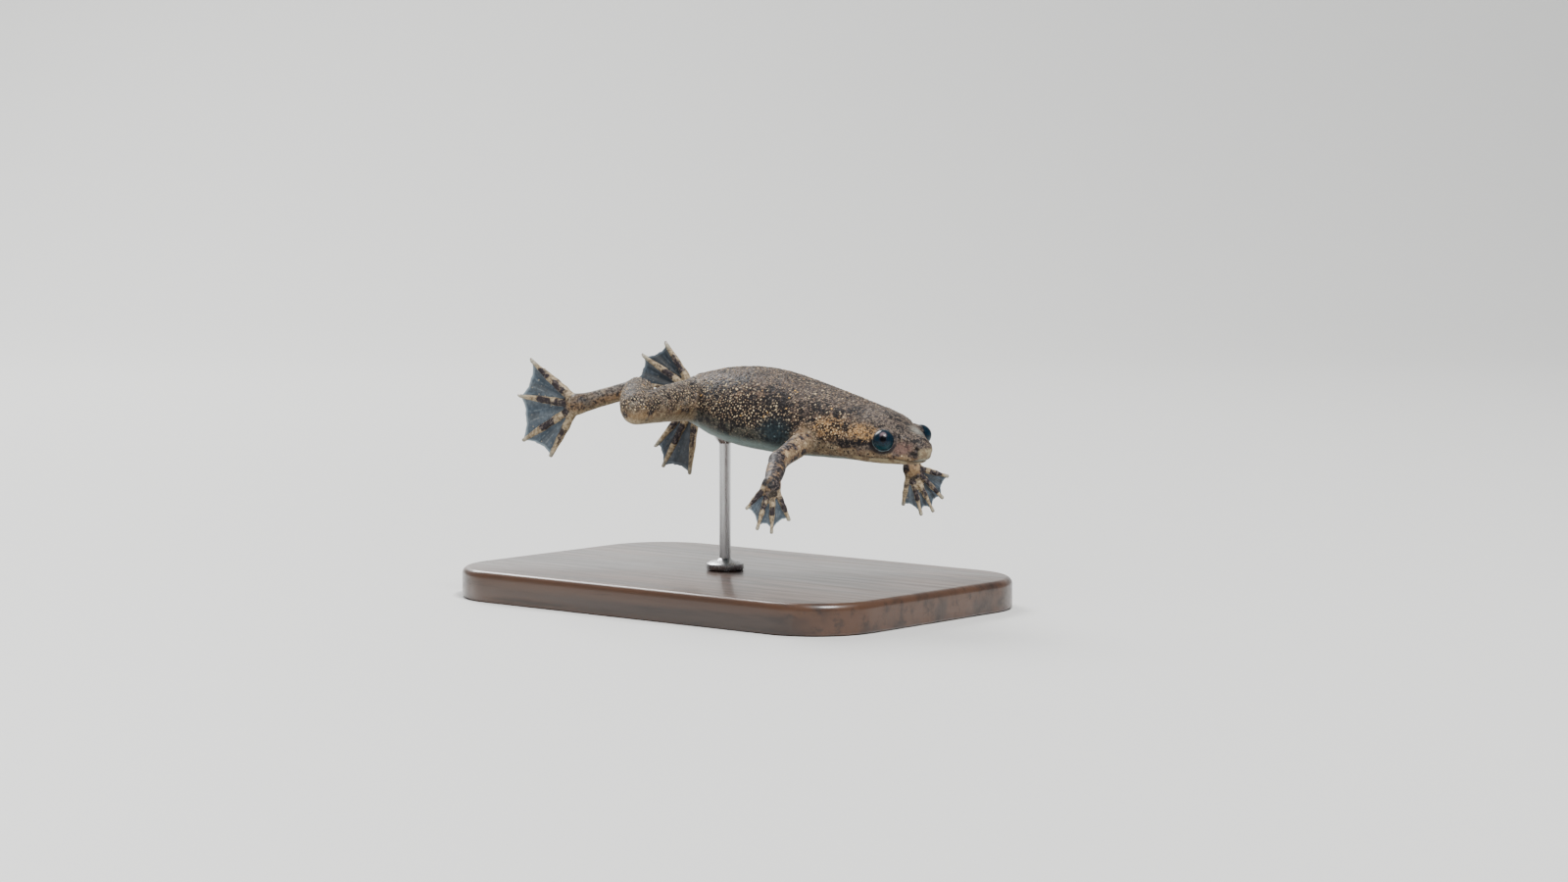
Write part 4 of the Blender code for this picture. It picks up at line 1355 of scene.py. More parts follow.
def markings_group(settings):
    """Make the group that colours skin and granules alike from the masks on the mesh."""
    nodes, given, result = new_group(
        "ShaderNodeTree",
        "frog_markings",
        {"Place": "Vector", "Raised": "Float", "Chance": "Float"},
        {"Colour": "Color", "Height": "Float", "Roughness": "Float"},
    )
    nodes.place = given["Place"]
    noise, rise, times, mix, layers = nodes.noise, nodes.rise, nodes.times, nodes.mix, nodes.layers
    mask = {name: nodes.stored(name) for name in MASKS}
    chance, dark = given["Chance"], settings.dark
    middling = noise(1250.0, 3.0, 0.6)
    fine = noise(3300.0, 3.0, 0.65)
    inside, tint = nodes.cells(3600.0)
    grainy = rise(inside, 0.5, 0.12)

    rust = times(rise(noise(260.0), 0.48, 0.62), mask["flank"], 0.5)
    worm = noise(2300.0, 2.0, 0.5)
    ridge = times(rise(worm, 0.46, 0.5), rise(worm, 0.54, 0.5))
    winding = times(nodes.sum("ADD", mask["head"], 0.3), nodes.sum("SUBTRACT", 1.0, mask["tan"]))
    patchy = mix(0.5, noise(480.0, 3.0, 0.6), middling)
    spotted = nodes.sum("ADD", patchy, times(mask["flank"], 0.15))
    spotted = nodes.sum("SUBTRACT", spotted, times(mask["golden"], 0.085))
    spot = times(rise(spotted, 0.535, 0.57), 0.93)
    ground = layers(
        settings.back,
        (rise(middling, 0.4, 0.6), LIGHT_BROWN),
        (rust, RUST),
        (times(mask["limb"], rise(middling, 0.45, 0.6, 0.2, 0.75)), LEG_TOP),
        (times(rise(fine, 0.53, 0.45), 0.8), dark),
        (mask["low"], mix(rise(fine, 0.42, 0.58), *OLIVE)),
        (times(mask["golden"], rise(fine, 0.4, 0.5)), settings.golden),
        (times(ridge, 0.5, winding), WORM_PALE),
        (times(rise(worm, 0.43, 0.38, 0.0, 0.75), winding), WORM_DARK),
        (spot, dark),
        (times(mask["rose"], rise(fine, 0.36, 0.54, 0.2, 0.75)), ROSE),
    )

    blotched = nodes.sum("ADD", noise(760.0, 3.0, 0.6), times(mask["blotch"], 0.3))
    from_dot, drawn = nodes.cells(2700.0)
    dots = rise(nodes.sum("ADD", from_dot, times(fine, 0.3)), 0.51, 0.41)
    dots = times(dots, rise(nodes.channel(drawn, 1), 0.45, 0.5), nodes.sum("SUBTRACT", 1.0, mask["limb"]))
    tan = layers(
        TAN_DARK,
        (rise(fine, 0.4, 0.58), settings.limb),
        (rise(middling, 0.54, 0.62, 0.0, 0.7), TAN_PALE),
        (rise(noise(430.0), 0.5, 0.62, 0.0, 0.275), settings.golden),
        (rise(blotched, 0.52, 0.6, 0.0, 0.6), STAIN_EDGE),
        (rise(blotched, 0.57, 0.67), mix(rise(fine, 0.47, 0.64), *STAIN)),
        (dots, dark),
    )
    # Painted shade under the arms and at the right ankle and wrist: blue-grey deepening to near black
    pit = times(mask["pit"], rise(middling, 0.3, 0.5, 0.6, 1.0))
    ground = layers(
        ground,
        (mask["tan"], tan),
        (times(mask["under"], 0.8), mix(rise(fine, 0.4, 0.6), *UNDERSIDE)),
        (mask["belly"], mix(rise(fine, 0.45, 0.6, 0.0, 0.5), settings.belly, BELLY_DARK)),
        (pit, mix(rise(fine, 0.7, 0.3), settings.shade, PIT_SHADE_DARK)),
        (times(mask["lip"], 0.9), mix(rise(middling, 0.44, 0.58), *LIP)),
        (times(mask["stripe"], rise(fine, 0.66, 0.5)), dark),
        # painted shade in the mouth's groove and the nostrils
        (mask["seam"], dark),
        (mask["eye_shade"], LID_SHADE),
    )

    # Painted shade: the skin is darker in the gaps between granules
    gap_shade = times(mask["granular"], nodes.sum("SUBTRACT", 0.55, grainy))
    # Painted light: a brighter copy of the ground for the lit tops of granules; some cells of the flat skin
    # take it mixed half with the granules' own cream
    lit = mix(1.0, ground, LIT_TINT, "MULTIPLY")
    share = nodes.sum("ADD", nodes.channel(tint, 0), times(mask["flank"], 0.12))
    pale_lit_grains = times(grainy, rise(share, 0.84, 0.9), mask["granular"], 0.8)
    skin = layers(
        ground,
        (gap_shade, mix(1.0, ground, GAP_SHADE_TINT, "MULTIPLY")),
        (pale_lit_grains, mix(0.5, lit, settings.cream)),
    )

    tanned = times(rise(chance, 0.62, 0.72, 0.0, 0.7), rise(spot, 0.0, 1.0, 1.0, 0.12))
    creamy = times(rise(chance, 0.8, 0.93), rise(spot, 0.0, 1.0, 1.0, 0.3))
    creamy = nodes.sum("MAXIMUM", creamy, rise(chance, 1.0, 1.02))
    drawn = nodes.sum("FRACT", nodes.sum("MULTIPLY", chance, 7.0, False))
    brownish = rise(drawn, 0.1, 0.8)
    pearl = layers(settings.cream, (brownish, BEAD_BROWN), (times(mask["golden"], 0.5), BEAD_GOLD))
    amber = times(rise(chance, 0.99, 0.993), rise(chance, 1.0, 1.001, 1.0, 0.0))
    dim = times(nodes.sum("ADD", mask["low"], times(mask["head"], 0.7)), 0.7)
    top = layers(
        dark,
        (rise(chance, 0.09, 0.15), ground),
        (rise(chance, 0.38, 0.55), lit),
        (tanned, BEAD_TAN),
        (creamy, pearl),
        (amber, AMBER),
        (nodes.sum("MAXIMUM", dim, mask["pit"]), ground),
        (times(mask["pit"], rise(chance, 0.55, 0.8)), MIST),
        (times(mask["stripe"], 0.6), ground),
    )

    edge = nodes.sum("ADD", mask["band"], rise(middling, 0.3, 0.7, -0.35, 0.35))
    pale = mix(rise(fine, 0.38, 0.6), *BAND_PALE)
    inked = mix(rise(fine, 0.52, 0.66), *BAND_DARK)
    colour = layers(
        skin,
        (given["Raised"], top),
        (times(mask["digit"], 0.97), mix(rise(edge, 0.2, 0.74), pale, inked)),
        # pale digit tips, and the painted highlight of the left brow
        (times(mask["tip"], 0.5), TIP_AND_BROW_HIGHLIGHT),
    )
    grain = times(grainy, rise(mask["digit"], 0.0, 1.0, 0.7, 0.25))
    nodes.feed(result["Colour"], colour)
    nodes.feed(result["Height"], nodes.sum("ADD", grain, times(fine, 0.3)))
    nodes.feed(result["Roughness"], rise(fine, 0.3, 0.7, 0.75, 0.52))
    return nodes.tree


def skin_material(name, markings, raised):
    """Make the material of the skin or of its granules."""
    nodes, shader = new_material(name, Coat_Weight=0.04, Coat_Roughness=0.25, Specular_IOR_Level=0.24)
    marks = nodes.add("ShaderNodeGroup", node_tree=markings)
    nodes.dress(marks, Place=nodes.place, Raised=raised)
    if raised:
        nodes.dress(marks, Chance=nodes.stored("chance"))
    normal = nodes.bumped(marks.outputs["Height"], 0.8, 0.00007)
    nodes.dress(
        shader, Base_Color=marks.outputs["Colour"], Roughness=marks.outputs["Roughness"], Normal=normal
    )


def web_material(settings):
    """Make the slate webs: streaks between the digits, specks, a free edge painted pale as rim light, and
    painted shade that darkens the far and hand webs.
    """
    nodes, shader = new_material("frog_web", Roughness=0.38, Coat_Weight=0.15, Coat_Roughness=0.2)
    noise, rise, times = nodes.noise, nodes.rise, nodes.times
    across, along = nodes.stored("across"), nodes.stored("along")
    streak = noise(700.0, 3.0, 0.6)
    mottle = noise(2600.0, 3.0, 0.65)
    rays = noise(1.0, 3.0, place=nodes.joined(nodes.sum("MULTIPLY", across, 4.0, False), along))
    inside, tint = nodes.cells(2600.0)
    speck = times(rise(inside, 0.3, 0.12), rise(nodes.channel(tint, 0), 0.8, 0.86), 0.6)
    colour = nodes.layers(
        settings.slate,
        (rise(streak, 0.4, 0.62), SLATE_DEEP),
        (times(rise(across, 0.35, 0.05), rise(streak, 0.4, 0.6, 0.1, 0.6)), SLATE_MIDDLE),
        (times(rise(rays, 0.46, 0.7, 0.0, 0.6), rise(mottle, 0.4, 0.6, 0.3, 1.0)), SLATE_RAY),
        (rise(mottle, 0.53, 0.42, 0.0, 0.6), SLATE_SPOT),
        (speck, SLATE_SPECK),
        (times(rise(across, 0.78, 1.0), 0.4), SLATE_BESIDE),
        # free edge painted pale as rim light
        (times(rise(along, 0.93, 0.99), 0.8), settings.rim),
    )
    shadow = nodes.mix(1.0, colour, WEB_SHADOW, "MULTIPLY")
    colour = nodes.mix(nodes.stored("shaded"), colour, shadow)
    nodes.dress(shader, Base_Color=colour, Normal=nodes.bumped(noise(2400.0), 0.4, 0.00005))


def eye_material(settings):
    """Make the glossy eye: round pupil, dark teal iris, a pale rim and a painted pinkish highlight above the
    pupil.
    """
    nodes, shader = new_material(
        "frog_eye", Roughness=0.28, Specular_IOR_Level=0.12, Coat_Weight=0.14, Coat_Roughness=0.09
    )
    rise, times = nodes.rise, nodes.times
    angle, around = nodes.stored("angle"), nodes.stored("around")
    pupil = settings.pupil / math.pi
    rings = nodes.joined(around, nodes.sum("MULTIPLY", angle, 4.0, False))
    streaks = nodes.noise(9.0, place=rings)
    rim = nodes.mix(rise(nodes.noise(3000.0), 0.4, 0.6), settings.rim, RIM_DARK)
    colour = nodes.layers(
        IRIS_DARK,
        (rise(streaks, 0.38, 0.7), settings.iris),
        (times(nodes.stored("lower"), rise(streaks, 0.4, 0.6, 0.25, 0.8)), IRIS_ARC),
        (times(nodes.stored("glow"), 0.5), IRIS_PAINTED_HIGHLIGHT),
        (times(rise(angle, pupil * 1.5, pupil * 1.2), 0.6), IRIS_RING),
        (rise(angle, pupil * 1.06, pupil * 0.9), PUPIL_BLACK),
        (rise(angle, 0.34, 0.375), EYE_EDGE),
        (rise(angle, 0.4, 0.43), rim),
        (rise(angle, 0.445, 0.47), EYE_BACK),
    )
    nodes.dress(shader, Base_Color=colour)


def claw_material():
    """Make the horn of the claws, darker towards the tip."""
    nodes, shader = new_material("frog_claw", Roughness=0.3, Coat_Weight=0.4, Coat_Roughness=0.15)
    horn = nodes.layers(
        (0.4, 0.36, 0.28),
        (nodes.rise(nodes.stored("along"), 0.2, 0.95), (0.14, 0.1, 0.07)),
        (nodes.rise(nodes.noise(5000.0), 0.35, 0.65, 0.0, 0.35), (0.5, 0.47, 0.4)),
    )
    nodes.dress(shader, Base_Color=horn)


def wood_material(settings):
    """Make the dark stained wood of the base, with long grain under a satin lacquer."""
    nodes, shader = new_material("stand_wood", Coat_Weight=0.5, Coat_Roughness=0.18)
    grain = nodes.noise(1.0, 4.0, 0.65, place=nodes.stretched(60.0, 900.0, 900.0))
    rings = nodes.noise(1.0, place=nodes.stretched(18.0, 260.0, 260.0))
    wood = nodes.layers(
        settings.wood,
        (nodes.rise(rings, 0.38, 0.62), (0.075, 0.034, 0.017)),
        (nodes.rise(grain, 0.5, 0.7, 0.0, 0.6), (0.014, 0.007, 0.005)),
    )
    polish = nodes.rise(grain, 0.3, 0.7, 0.32, 0.48)
    nodes.dress(shader, Base_Color=wood, Roughness=polish, Normal=nodes.bumped(grain, 0.25, 0.0001))


def steel_material():
    """Make the brushed steel of the rod and its collars."""
    nodes, shader = new_material("stand_steel", Metallic=1.0)
    lines = nodes.noise(1.0, place=nodes.stretched(6000.0, 6000.0, 220.0))
    steel = nodes.mix(lines, (0.42, 0.42, 0.43), (0.6, 0.6, 0.6))
    polish = nodes.rise(lines, 0.3, 0.7, 0.22, 0.38)
    nodes.dress(shader, Base_Color=steel, Roughness=polish, Normal=nodes.bumped(lines, 0.15, 0.00002))


def floor_material(settings):
    """Make the plain pale floor."""
    nodes, shader = new_material("studio_floor", Roughness=0.6)
    shaded = tuple(value * 0.985 for value in settings.floor)
    nodes.dress(shader, Base_Color=nodes.mix(nodes.noise(90.0, 3.0), settings.floor, shaded))


def granule_tree(material):
    """Make the Geometry Nodes tree that sets granules on the skin."""
    floats = ("Spacing", "Radius", "From Place", "To Place", "Least Chance", "Beads")
    inputs = {"Geometry": "Geometry", "Seed": "Int", "Roundness": "Int", **dict.fromkeys(floats, "Float")}
    nodes, given, result = new_group(
        "GeometryNodeTree", "skin_granules", inputs, {"Geometry": "Geometry"}
    )
    add = nodes.add
    order = nodes.named("order")
    ends = []
    for label, operation in (("From Place", "GREATER_EQUAL"), ("To Place", "LESS_THAN")):
        compared = {0: order, 1: given[label]}
        ends.append(add("FunctionNodeCompare", compared, data_type="FLOAT", operation=operation).outputs[0])
    within = add("FunctionNodeBooleanMath", {0: ends[0], 1: ends[1]}, operation="AND")
    shares = {0: given["Beads"], 2: nodes.named("granular"), 3: nodes.named("beaded")}
    points = add(
        "GeometryNodeDistributePointsOnFaces",
        {
            "Mesh": given["Geometry"],
            "Selection": within.outputs[0],
            "Distance Min": given["Spacing"],
            "Density Max": GRANULE_DENSITY,
            "Density Factor": add("ShaderNodeMix", shares, data_type="FLOAT").outputs[0],
            "Seed": given["Seed"],
        },
        distribute_method="POISSON",
    ).outputs
    least = given["Least Chance"]
    chance = nodes.random(least, nodes.sum("ADD", least, 1.0, False), given["Seed"])
    kind = "GeometryNodeStoreNamedAttribute"
    stored = add(kind, {"Geometry": points["Points"], "Name": "chance"}, data_type="FLOAT", domain="POINT")
    nodes.feed(stored.inputs["Value"], chance)
    ball = add("GeometryNodeMeshIcoSphere", {"Radius": 1.0, "Subdivisions": given["Roundness"]})
    shaped = {"Geometry": ball.outputs["Mesh"], "Scale": GRANULE_SHAPE, "Translation": GRANULE_CENTRE}
    size = nodes.sum("MULTIPLY", nodes.random(*GRANULE_SIZES, 11), given["Radius"], False)
    copies = add(
        "GeometryNodeInstanceOnPoints",
        {
            "Points": stored.outputs["Geometry"],
            "Instance": add("GeometryNodeTransform", shaped).outputs["Geometry"],
            "Rotation": points["Rotation"],
            "Scale": nodes.sum("MULTIPLY", size, nodes.named("granule_size"), False),
        },
    )
    about = add("ShaderNodeCombineXYZ", {2: nodes.random(0.0, 2.0 * math.pi, 23)})
    turned = {"Instances": copies.outputs["Instances"], "Rotation": about.outputs[0]}
    made = add("GeometryNodeRotateInstances", turned).outputs["Instances"]
    made = add("GeometryNodeRealizeInstances", {"Geometry": made}).outputs["Geometry"]
    made = add("GeometryNodeSetShadeSmooth", {"Geometry": made}).outputs["Geometry"]
    made = add("GeometryNodeSetMaterial", {"Geometry": made, "Material": material}).outputs["Geometry"]
    nodes.feed(result["Geometry"], made)
    items = nodes.tree.interface.items_tree
    return nodes.tree, {item.name: item.identifier for item in items if item.in_out == "INPUT"}


def pearl_mesh(frog):
    """Make the larger pale granules, set at listed places on both sides of the body."""
    ball = bmesh.new()
    bmesh.ops.create_icosphere(ball, subdivisions=2, radius=1.0)
    shape = np.array([corner.co[:] for corner in ball.verts])
    corners = [[corner.index for corner in face.verts] for face in ball.faces]
    ball.free()
    local = shape * (1.0, 1.0, 0.62) - (0.0, 0.0, 0.1)
    own = np.array([place for *place, _ in PEARLS])
    own = np.concatenate([own, own * (1.0, -1.0, 1.0) + (0.9, 0.0, -0.25)])
    sizes = np.tile([size for *_, size in PEARLS], 2)
    roots = drawn_to(posed(own), frog.distance, 6)
    slopes = [frog.distance(roots + shift) - frog.distance(roots - shift) for shift in np.eye(3) * 0.05]
    vertices, faces = [], []
    for root, normal, size in zip(roots, np.stack(slopes, axis=1), sizes):
        axis = unit(normal)
        start = len(vertices) * len(shape)
        vertices.append(root + local @ np.stack([*square_to(axis), axis]) * size)
        faces += [tuple(index + start for index in face) for face in corners]
    item = mesh_object("granules_large", np.concatenate(vertices), faces)
    flat = np.repeat(unwrap_of(frog, roots, *nearest_form(frog, roots)), len(shape), axis=0)
    store(item.data, map_u=flat[:, 0], map_v=flat[:, 1], chance=np.full(len(flat), PEARL_CHANCE))
    bake_map(item.data, len(shape))
    return item


def bake_map(mesh, corners):
    """Give each granule a small patch at its root's place on the skin's own unwrap."""
    flat = np.stack([get_attribute(mesh, "map_u"), get_attribute(mesh, "map_v")], axis=1)
    patch = circle((1.0, 0.0), (0.0, 1.0), corners) * PATCH_SIZE
    flat = np.clip(flat + np.tile(patch, (len(flat) // corners, 1)), 0.0, 1.0)
    loops = np.empty(len(mesh.loops), dtype=np.int64)
    mesh.loops.foreach_get("vertex_index", loops)
    layer = mesh.uv_layers.new(name="OFBake")
    layer.data.foreach_set("uv", flat[loops].ravel().astype(np.float32))


def web_sheet(fan, first, second, thickness):
    """Return points, faces, and how far across and along, of the web between two digits."""
    grid = np.arange((WEB_COLUMNS + 1) * (WEB_ROWS + 1)).reshape(WEB_ROWS + 1, WEB_COLUMNS + 1)
    u = np.tile(np.arange(WEB_COLUMNS + 1) / WEB_COLUMNS, WEB_ROWS + 1)
    v = np.repeat(np.arange(WEB_ROWS + 1) / WEB_ROWS, WEB_COLUMNS + 1)
    across = np.abs(2.0 * u - 1.0)
    hang = 1.0 - fan.bay * (1.0 - across**2) * v**3
    wave = np.sin(11.0 * math.pi * u) + 1.3 * np.sin(5.0 * math.pi * u + 1.0)
    hang += 0.004 * wave * np.sin(math.pi * u) * v**6
    fold = 0.1 * np.sin(3.0 * math.pi * u) * np.sin(math.pi * u) * v
    middle = fan.normal * fold[:, None]
    reaches = (min(second["web"] + 0.02, 0.97), second["web"])
    for digit, reach, share in zip((first, second), reaches, (1.0 - u, u)):
        start = digit["base"] + (fan.root - digit["base"]) * 0.4
        end = digit["base"] + (fan.reach(digit) - digit["base"]) * reach
        middle += (start + (end - start) * (v * hang)[:, None]) * share[:, None]
    half = fan.normal * (thickness / 2.0 * (1.0 + 0.5 * step_up(0.93, 1.0, v)))[:, None]
    quads = np.stack([grid[:-1, :-1], grid[:-1, 1:], grid[1:, 1:], grid[1:, :-1]], axis=2).reshape(-1, 4)
    faces = [tuple(quad) for quad in quads.tolist()]
    faces += [tuple(quad) for quad in (quads[:, ::-1] + grid.size).tolist()]
    rim = [*grid[0], *grid[1:, -1], *grid[-1, -2::-1], *grid[-2:0:-1, 0]]
    for here, after in zip(map(int, rim), map(int, rim[1:] + rim[:1])):
        faces.append((after, here, here + grid.size, after + grid.size))
    return np.concatenate([middle + half, middle - half]), faces, np.tile(across, 2), np.tile(v, 2)


def box_of(name):
    """Return the lowest and highest corner of a node, in millimetres."""
    low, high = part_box(name)
    return np.array(low) / MILLIMETRE, np.array(high) / MILLIMETRE


class FROG_OT_skin(bpy.types.Operator):
    """Make the one skin that covers head, trunk, limbs and digits."""

    bl_idname = "frog.skin"
    bl_label = "Skin"

    def execute(self, context):
        settings = context.scene.frog_skin
        markings = markings_group(settings)
        skin_material("frog_skin", markings, 0.0)
        skin_material("frog_granule", markings, 1.0)
        frog = Frog()
        item = rough_frog(frog, settings.voxel / MILLIMETRE)
        set_points(item.data, drawn_to(points_of(item.data), frog.distance, 3))
        finer_head(item)
        points, edges = points_of(item.data), edges_of(item.data)
        for _ in range(3):
            points = drawn_to(relaxed(points, edges, 0.5), frog.distance, 2)
        set_points(item.data, points)
        mark_skin(frog, item.data, points)
        finished(item, "frog_skin")
        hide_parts(*FLESH)
        return {"FINISHED"}


class FROG_OT_granules(bpy.types.Operator):
    """Set fine granules over the back, flanks and limbs."""

    bl_idname = "frog.granules"
    bl_label = "Granules"

    def execute(self, context):
        settings = context.scene.frog_granules
        frog = Frog()
        carrier = linked("granule_carrier", bpy.data.objects["frog_skin"].data.copy())
        points = points_of(carrier.data) / MILLIMETRE
        place = unposed(points)[:, 0]
        size = 1.0 - 0.35 * step_up(25.0, 31.0, place) - 0.15 * limb_mask(frog, points)
        store(carrier.data, order=np.clip(place / BODY_LENGTH, 0.0, 0.999), granule_size=size)
        tree, sockets = granule_tree(bpy.data.materials["frog_granule"])
        labels = ("Spacing", "Radius", "Seed", "Least Chance", "Beads", "Roundness")
        fine = (settings.spacing, settings.radius, settings.seed, 0.0, 0.0, 1)
        beads = (settings.bead_spacing, settings.bead_radius, settings.seed + 1, 1.02, 1.0, 2)
        for name, start, end, values in (
            ("granules_legs", -1.0, 0.22, fine),
            ("granules_back", 0.22, 0.42, fine),
            ("granules_shoulders", 0.42, 0.66, fine),
            ("granules_head", 0.66, 2.0, fine),
            ("beads_flank", -1.0, 0.5, beads),
            ("beads_shoulder", 0.5, 2.0, beads),
        ):
            modifier = carrier.modifiers.new("granules", "NODES")
            modifier.node_group = tree
            for label, value in zip(labels + ("From Place", "To Place"), values + (start, end)):
                modifier[sockets[label]] = value
            item = linked(name, evaluated_mesh(carrier))
            bake_map(item.data, BALL_CORNERS[values[-1]])
            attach(item, "root")
        bpy.data.objects.remove(carrier)
        large = finished(pearl_mesh(frog), "frog_granule")
        return {"FINISHED"}


class FROG_OT_webs(bpy.types.Operator):
    """Stretch the thin webs between fingers and toes."""

    bl_idname = "frog.webs"
    bl_label = "Webs"

    def execute(self, context):
        settings = context.scene.frog_webs
        web_material(settings)
        for fan in Frog().fans:
            digits = [digit for digit in fan.digits if not digit["lift"]]
            thickness = settings.thickness / MILLIMETRE
            sheets = [web_sheet(fan, *pair, thickness) for pair in zip(digits, digits[1:])]
            points, faces, across, along = zip(*sheets)
            shift = len(points[0])
            joined = [
                tuple(index + number * shift for index in face)
                for number, part in enumerate(faces)
                for face in part
            ]
            item = mesh_object("web_" + fan.name, np.concatenate(points), joined)
            across, along = np.concatenate(across), np.concatenate(along)
            store(item.data, across=across, along=along, shaded=np.full(len(along), WEB_SHADE[fan.name]))
            finished(item, "frog_web")
        return {"FINISHED"}


class FROG_OT_eyes(bpy.types.Operator):
    """Make the two glossy eyes."""

    bl_idname = "frog.eyes"
    bl_label = "Eyes"

    def execute(self, context):
        eye_material(context.scene.frog_eyes)
        for side in SIDES:
            centre, radius = eye_centre(side)
            axis = eye_axis(side)
            across, up = square_to(axis)
            ring = circle(across, up, EYE_SIDES)
            rings = []
            for angle in np.radians(np.linspace(1.5, 178.5, 60)):
                swell = radius * (1.0 + CORNEA_SWELL * bump_at(angle, CORNEA_WIDTH))
                rings.append(centre + (axis * math.cos(angle) + ring * math.sin(angle)) * swell)
            item = mesh_object("eyeball_" + side, *skin_rings(rings))
            local = points_of(item.data) - centre
            outward = local / np.linalg.norm(local, axis=1)[:, None]
            angle = np.arccos(np.clip(outward @ axis, -1.0, 1.0)) / math.pi
            around = np.abs(np.arctan2(local @ up, local @ across)) / math.pi
            lower = step_up(0.1, -0.7, local[:, 2] / radius) * step_up(0.1, 0.28, angle)
            # Painted highlight: a soft pinkish patch above the pupil, where the lamps would be reflected
            glow = step_up(0.42, 0.1, apart(outward, unit(axis + (0.0, 0.0, 0.5))))
            store(item.data, angle=angle, around=around, lower=lower, glow=glow)
            finished(item, "frog_eye")
            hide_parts("eye_" + side)
        return {"FINISHED"}


class FROG_OT_claws(bpy.types.Operator):
    """Make the small curved claws of the inner toes."""

    bl_idname = "frog.claws"
    bl_label = "Claws"

    def execute(self, context):
        claw_material()
        shares = np.linspace(0.0, 1.0, 10)
        for fan in Frog().fans:
            for number, digit in enumerate(fan.clawed):
                axis = unit(digit["tip"] - digit["base"])
                across, up = square_to(axis)
                start = digit["tip"] - axis * CLAW_LENGTH
                rings = []
                for share in shares:
                    width = CLAW_RADIUS * math.sqrt(max(1.0 - share**1.6, 0.0)) + CLAW_POINT
                    centre = start + axis * CLAW_LENGTH * share * 1.02 - up * CLAW_CURVE * share**2
                    rings.append(centre + circle(across, up, CLAW_SIDES) * width)
                side = fan.name.split("_")[1]
                item = mesh_object(f"horn_{side}_{number + 1}", *skin_rings(rings))
                store(item.data, along=np.append(np.repeat(shares, CLAW_SIDES), (0.0, 1.0)))
                finished(item, "frog_claw")
                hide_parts(f"claw_{side}_{number + 1}")
        return {"FINISHED"}


def plinth_rings(low, high, bevel):
    """Return rings of points for the base: round corners, a bevelled top and a shadow line below."""
    outline = []
    for index, signs in enumerate(((1, 1), (-1, 1), (-1, -1), (1, -1))):
        centre = np.array(signs) * (high[:2] - BASE_CORNER)
        for turn in np.radians(np.linspace(90.0 * index, 90.0 * index + 90.0, 17)):
            outline.append(centre + BASE_CORNER * np.array([math.cos(turn), math.sin(turn)]))
    outline = np.array(outline)
    length = np.linalg.norm(outline, axis=1)[:, None]
    steps = [(0.25, low[2]), (0.0, low[2] + 0.25), (0.0, high[2] - bevel)]
    for turn in np.radians(np.linspace(15.0, 90.0, 6)):
        steps.append((bevel * (1.0 - math.cos(turn)), high[2] - bevel * (1.0 - math.sin(turn))))
    return [
        np.column_stack([outline * (length - inset) / length, np.full(len(outline), height)])
        for inset, height in steps
    ]


def rod_rings(low, high):
    """Return rings of points for the rod, its foot on the base and its cup under the belly."""
    centre = (low + high) / 2.0
    radius = float(high[0] - low[0]) / 2.0
    foot, top = low[2] - 0.3, high[2]
    profile = [(0.6, foot)]
    profile += [(radius + out, foot + height) for out, height in FOOT_COLLAR]
    profile += [(radius + out, top + height) for out, height in TOP_COLLAR]
    profile.append((0.5, top + 0.15))
    ring = circle((1.0, 0.0, 0.0), (0.0, 1.0, 0.0), 48)
    return [(centre[0], centre[1], height) + ring * width for width, height in profile]


class FROG_OT_stand(bpy.types.Operator):
    """Make the bevelled wooden base, the steel rod and its collars."""

    bl_idname = "frog.stand"
    bl_label = "Display stand"

    def execute(self, context):
        settings = context.scene.frog_stand
        wood_material(settings)
        steel_material()
        rings = plinth_rings(*box_of("stand_base"), settings.bevel / MILLIMETRE)
        base = finished(mesh_object("plinth", *skin_rings(rings)), "stand_wood")
        base.data.set_sharp_from_angle(angle=math.radians(40.0))
        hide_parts("stand_base")
        rod = finished(mesh_object("rod", *skin_rings(rod_rings(*box_of("stand_rod")))), "stand_steel")
        rod.data.set_sharp_from_angle(angle=math.radians(50.0))
        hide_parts("stand_rod")
        return {"FINISHED"}


def studio_floor(away, beside):
    """Make the floor, which bends up into the wall behind the frog."""
    profile = [(FLOOR_FRONT, 0.0), (FLOOR_BEND, 0.0)]
    for turn in np.radians(np.linspace(10.0, 90.0, FLOOR_STEPS)):
        out, height = FLOOR_RADIUS * math.sin(turn), FLOOR_RADIUS * (1.0 - math.cos(turn))
        profile.append((FLOOR_BEND + out, height))
    profile.append((FLOOR_BEND + FLOOR_RADIUS, FLOOR_TOP))
    vertices = [
        away * out + beside * width + (0.0, 0.0, height)
        for out, height in profile
        for width in (-FLOOR_HALF, FLOOR_HALF)
    ]
    faces = [(row, row + 1, row + 3, row + 2) for row in range(0, len(vertices) - 2, 2)]
    return mesh_object("studio_floor", vertices, faces)


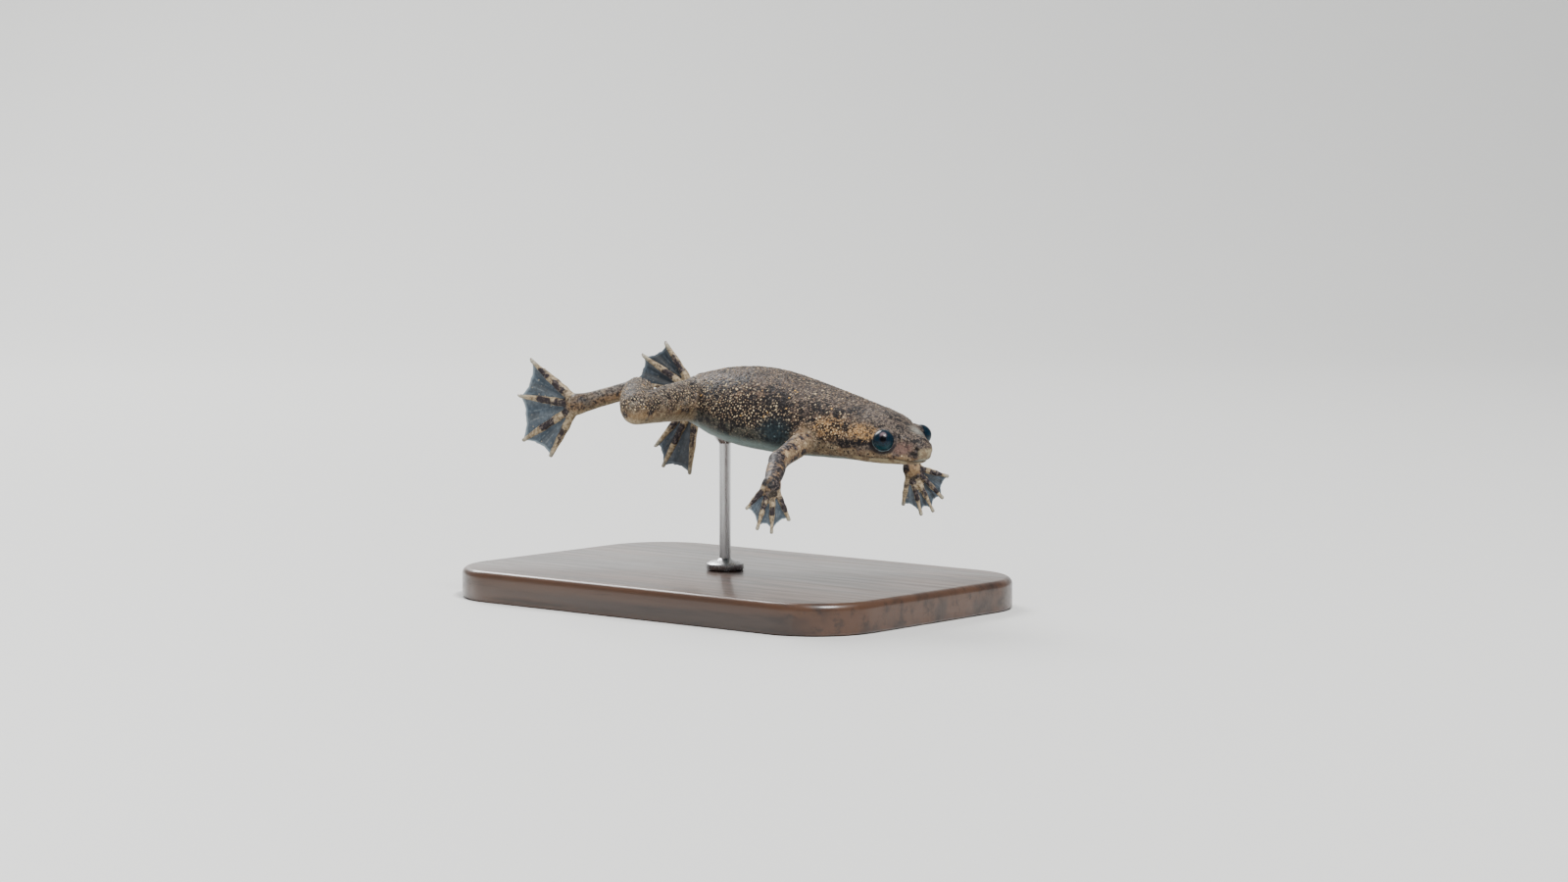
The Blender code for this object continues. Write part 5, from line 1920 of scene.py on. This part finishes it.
class FROG_OT_stage(bpy.types.Operator):
    """Make the pale floor, the soft lights and the camera."""

    bl_idname = "frog.stage"
    bl_label = "Stage"

    def execute(self, context):
        settings = context.scene.frog_stage
        floor_material(settings)
        turn, rise = math.radians(VIEW_HEADING), math.radians(VIEW_RISE)
        away = np.array([-math.sin(turn), math.cos(turn), 0.0])
        beside = np.array([math.cos(turn), math.sin(turn), 0.0])
        floor = studio_floor(away, beside)
        in_metres(floor, "studio_floor")
        target, toward, right = Vector(VIEW_TARGET) * MILLIMETRE, Vector(-away), Vector(beside)
        for name, (out, across, height, size, power) in LIGHTS.items():
            data = bpy.data.lights.new(name, "AREA")
            data.size = size
            data.energy = power * settings.light
            lamp = linked(name, data)
            lamp.visible_glossy = name != "fill_light"
            lamp.location = target + toward * out + right * across + Vector((0.0, 0.0, height))
            lamp.rotation_euler = (target - lamp.location).to_track_quat("-Z", "Y").to_euler()
        world = bpy.data.worlds.new("studio")
        world.use_nodes = True
        shade = world.node_tree.nodes["Background"]
        shade.inputs["Color"].default_value = SKY_COLOUR
        shade.inputs["Strength"].default_value = SKY_STRENGTH
        context.scene.world = world
        data = bpy.data.cameras.new("camera")
        data.lens = VIEW_LENS
        data.sensor_width = 36.0
        data.clip_start = 0.01
        camera = linked("camera", data)
        direction = toward * math.cos(rise) + Vector((0.0, 0.0, math.sin(rise)))
        camera.location = target + direction * VIEW_DISTANCE * MILLIMETRE
        camera.rotation_euler = direction.to_track_quat("Z", "Y").to_euler()
        context.scene.camera = camera
        return {"FINISHED"}


class FROG_PT_panel(bpy.types.Panel):
    """Lists the pieces of the frog and their settings."""

    bl_idname = "FROG_PT_panel"
    bl_label = "Dwarf clawed frog"
    bl_space_type = "VIEW_3D"
    bl_region_type = "UI"
    bl_category = "Frog"

    def draw(self, context):
        for group, operators in PIECES:
            box = self.layout.box()
            for name in getattr(context.scene, group).__annotations__:
                box.prop(getattr(context.scene, group), name)
            for operator in operators:
                box.operator(operator.bl_idname)


PIECES = (
    ("frog_skin", (FROG_OT_skin,)),
    ("frog_granules", (FROG_OT_granules,)),
    ("frog_webs", (FROG_OT_webs,)),
    ("frog_eyes", (FROG_OT_eyes, FROG_OT_claws)),
    ("frog_stand", (FROG_OT_stand,)),
    ("frog_stage", (FROG_OT_stage,)),
)
SETTINGS = {
    "frog_skin": SkinSettings,
    "frog_granules": GranuleSettings,
    "frog_webs": WebSettings,
    "frog_eyes": EyeSettings,
    "frog_stand": StandSettings,
    "frog_stage": StageSettings,
}


def register():
    for name, group in SETTINGS.items():
        bpy.utils.register_class(group)
        setattr(bpy.types.Scene, name, bpy.props.PointerProperty(type=group))
    for _, operators in PIECES:
        for operator in operators:
            bpy.utils.register_class(operator)
    bpy.utils.register_class(FROG_PT_panel)


def unregister():
    bpy.utils.unregister_class(FROG_PT_panel)
    for _, operators in PIECES:
        for operator in operators:
            bpy.utils.unregister_class(operator)
    for name, group in SETTINGS.items():
        delattr(bpy.types.Scene, name)
        bpy.utils.unregister_class(group)


def main():
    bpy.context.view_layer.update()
    register()
    bpy.ops.frog.skin()
    bpy.ops.frog.granules()
    bpy.ops.frog.webs()
    bpy.ops.frog.eyes()
    bpy.ops.frog.claws()
    bpy.ops.frog.stand()
    bpy.ops.frog.stage()


if __name__ == "__main__":
    main()
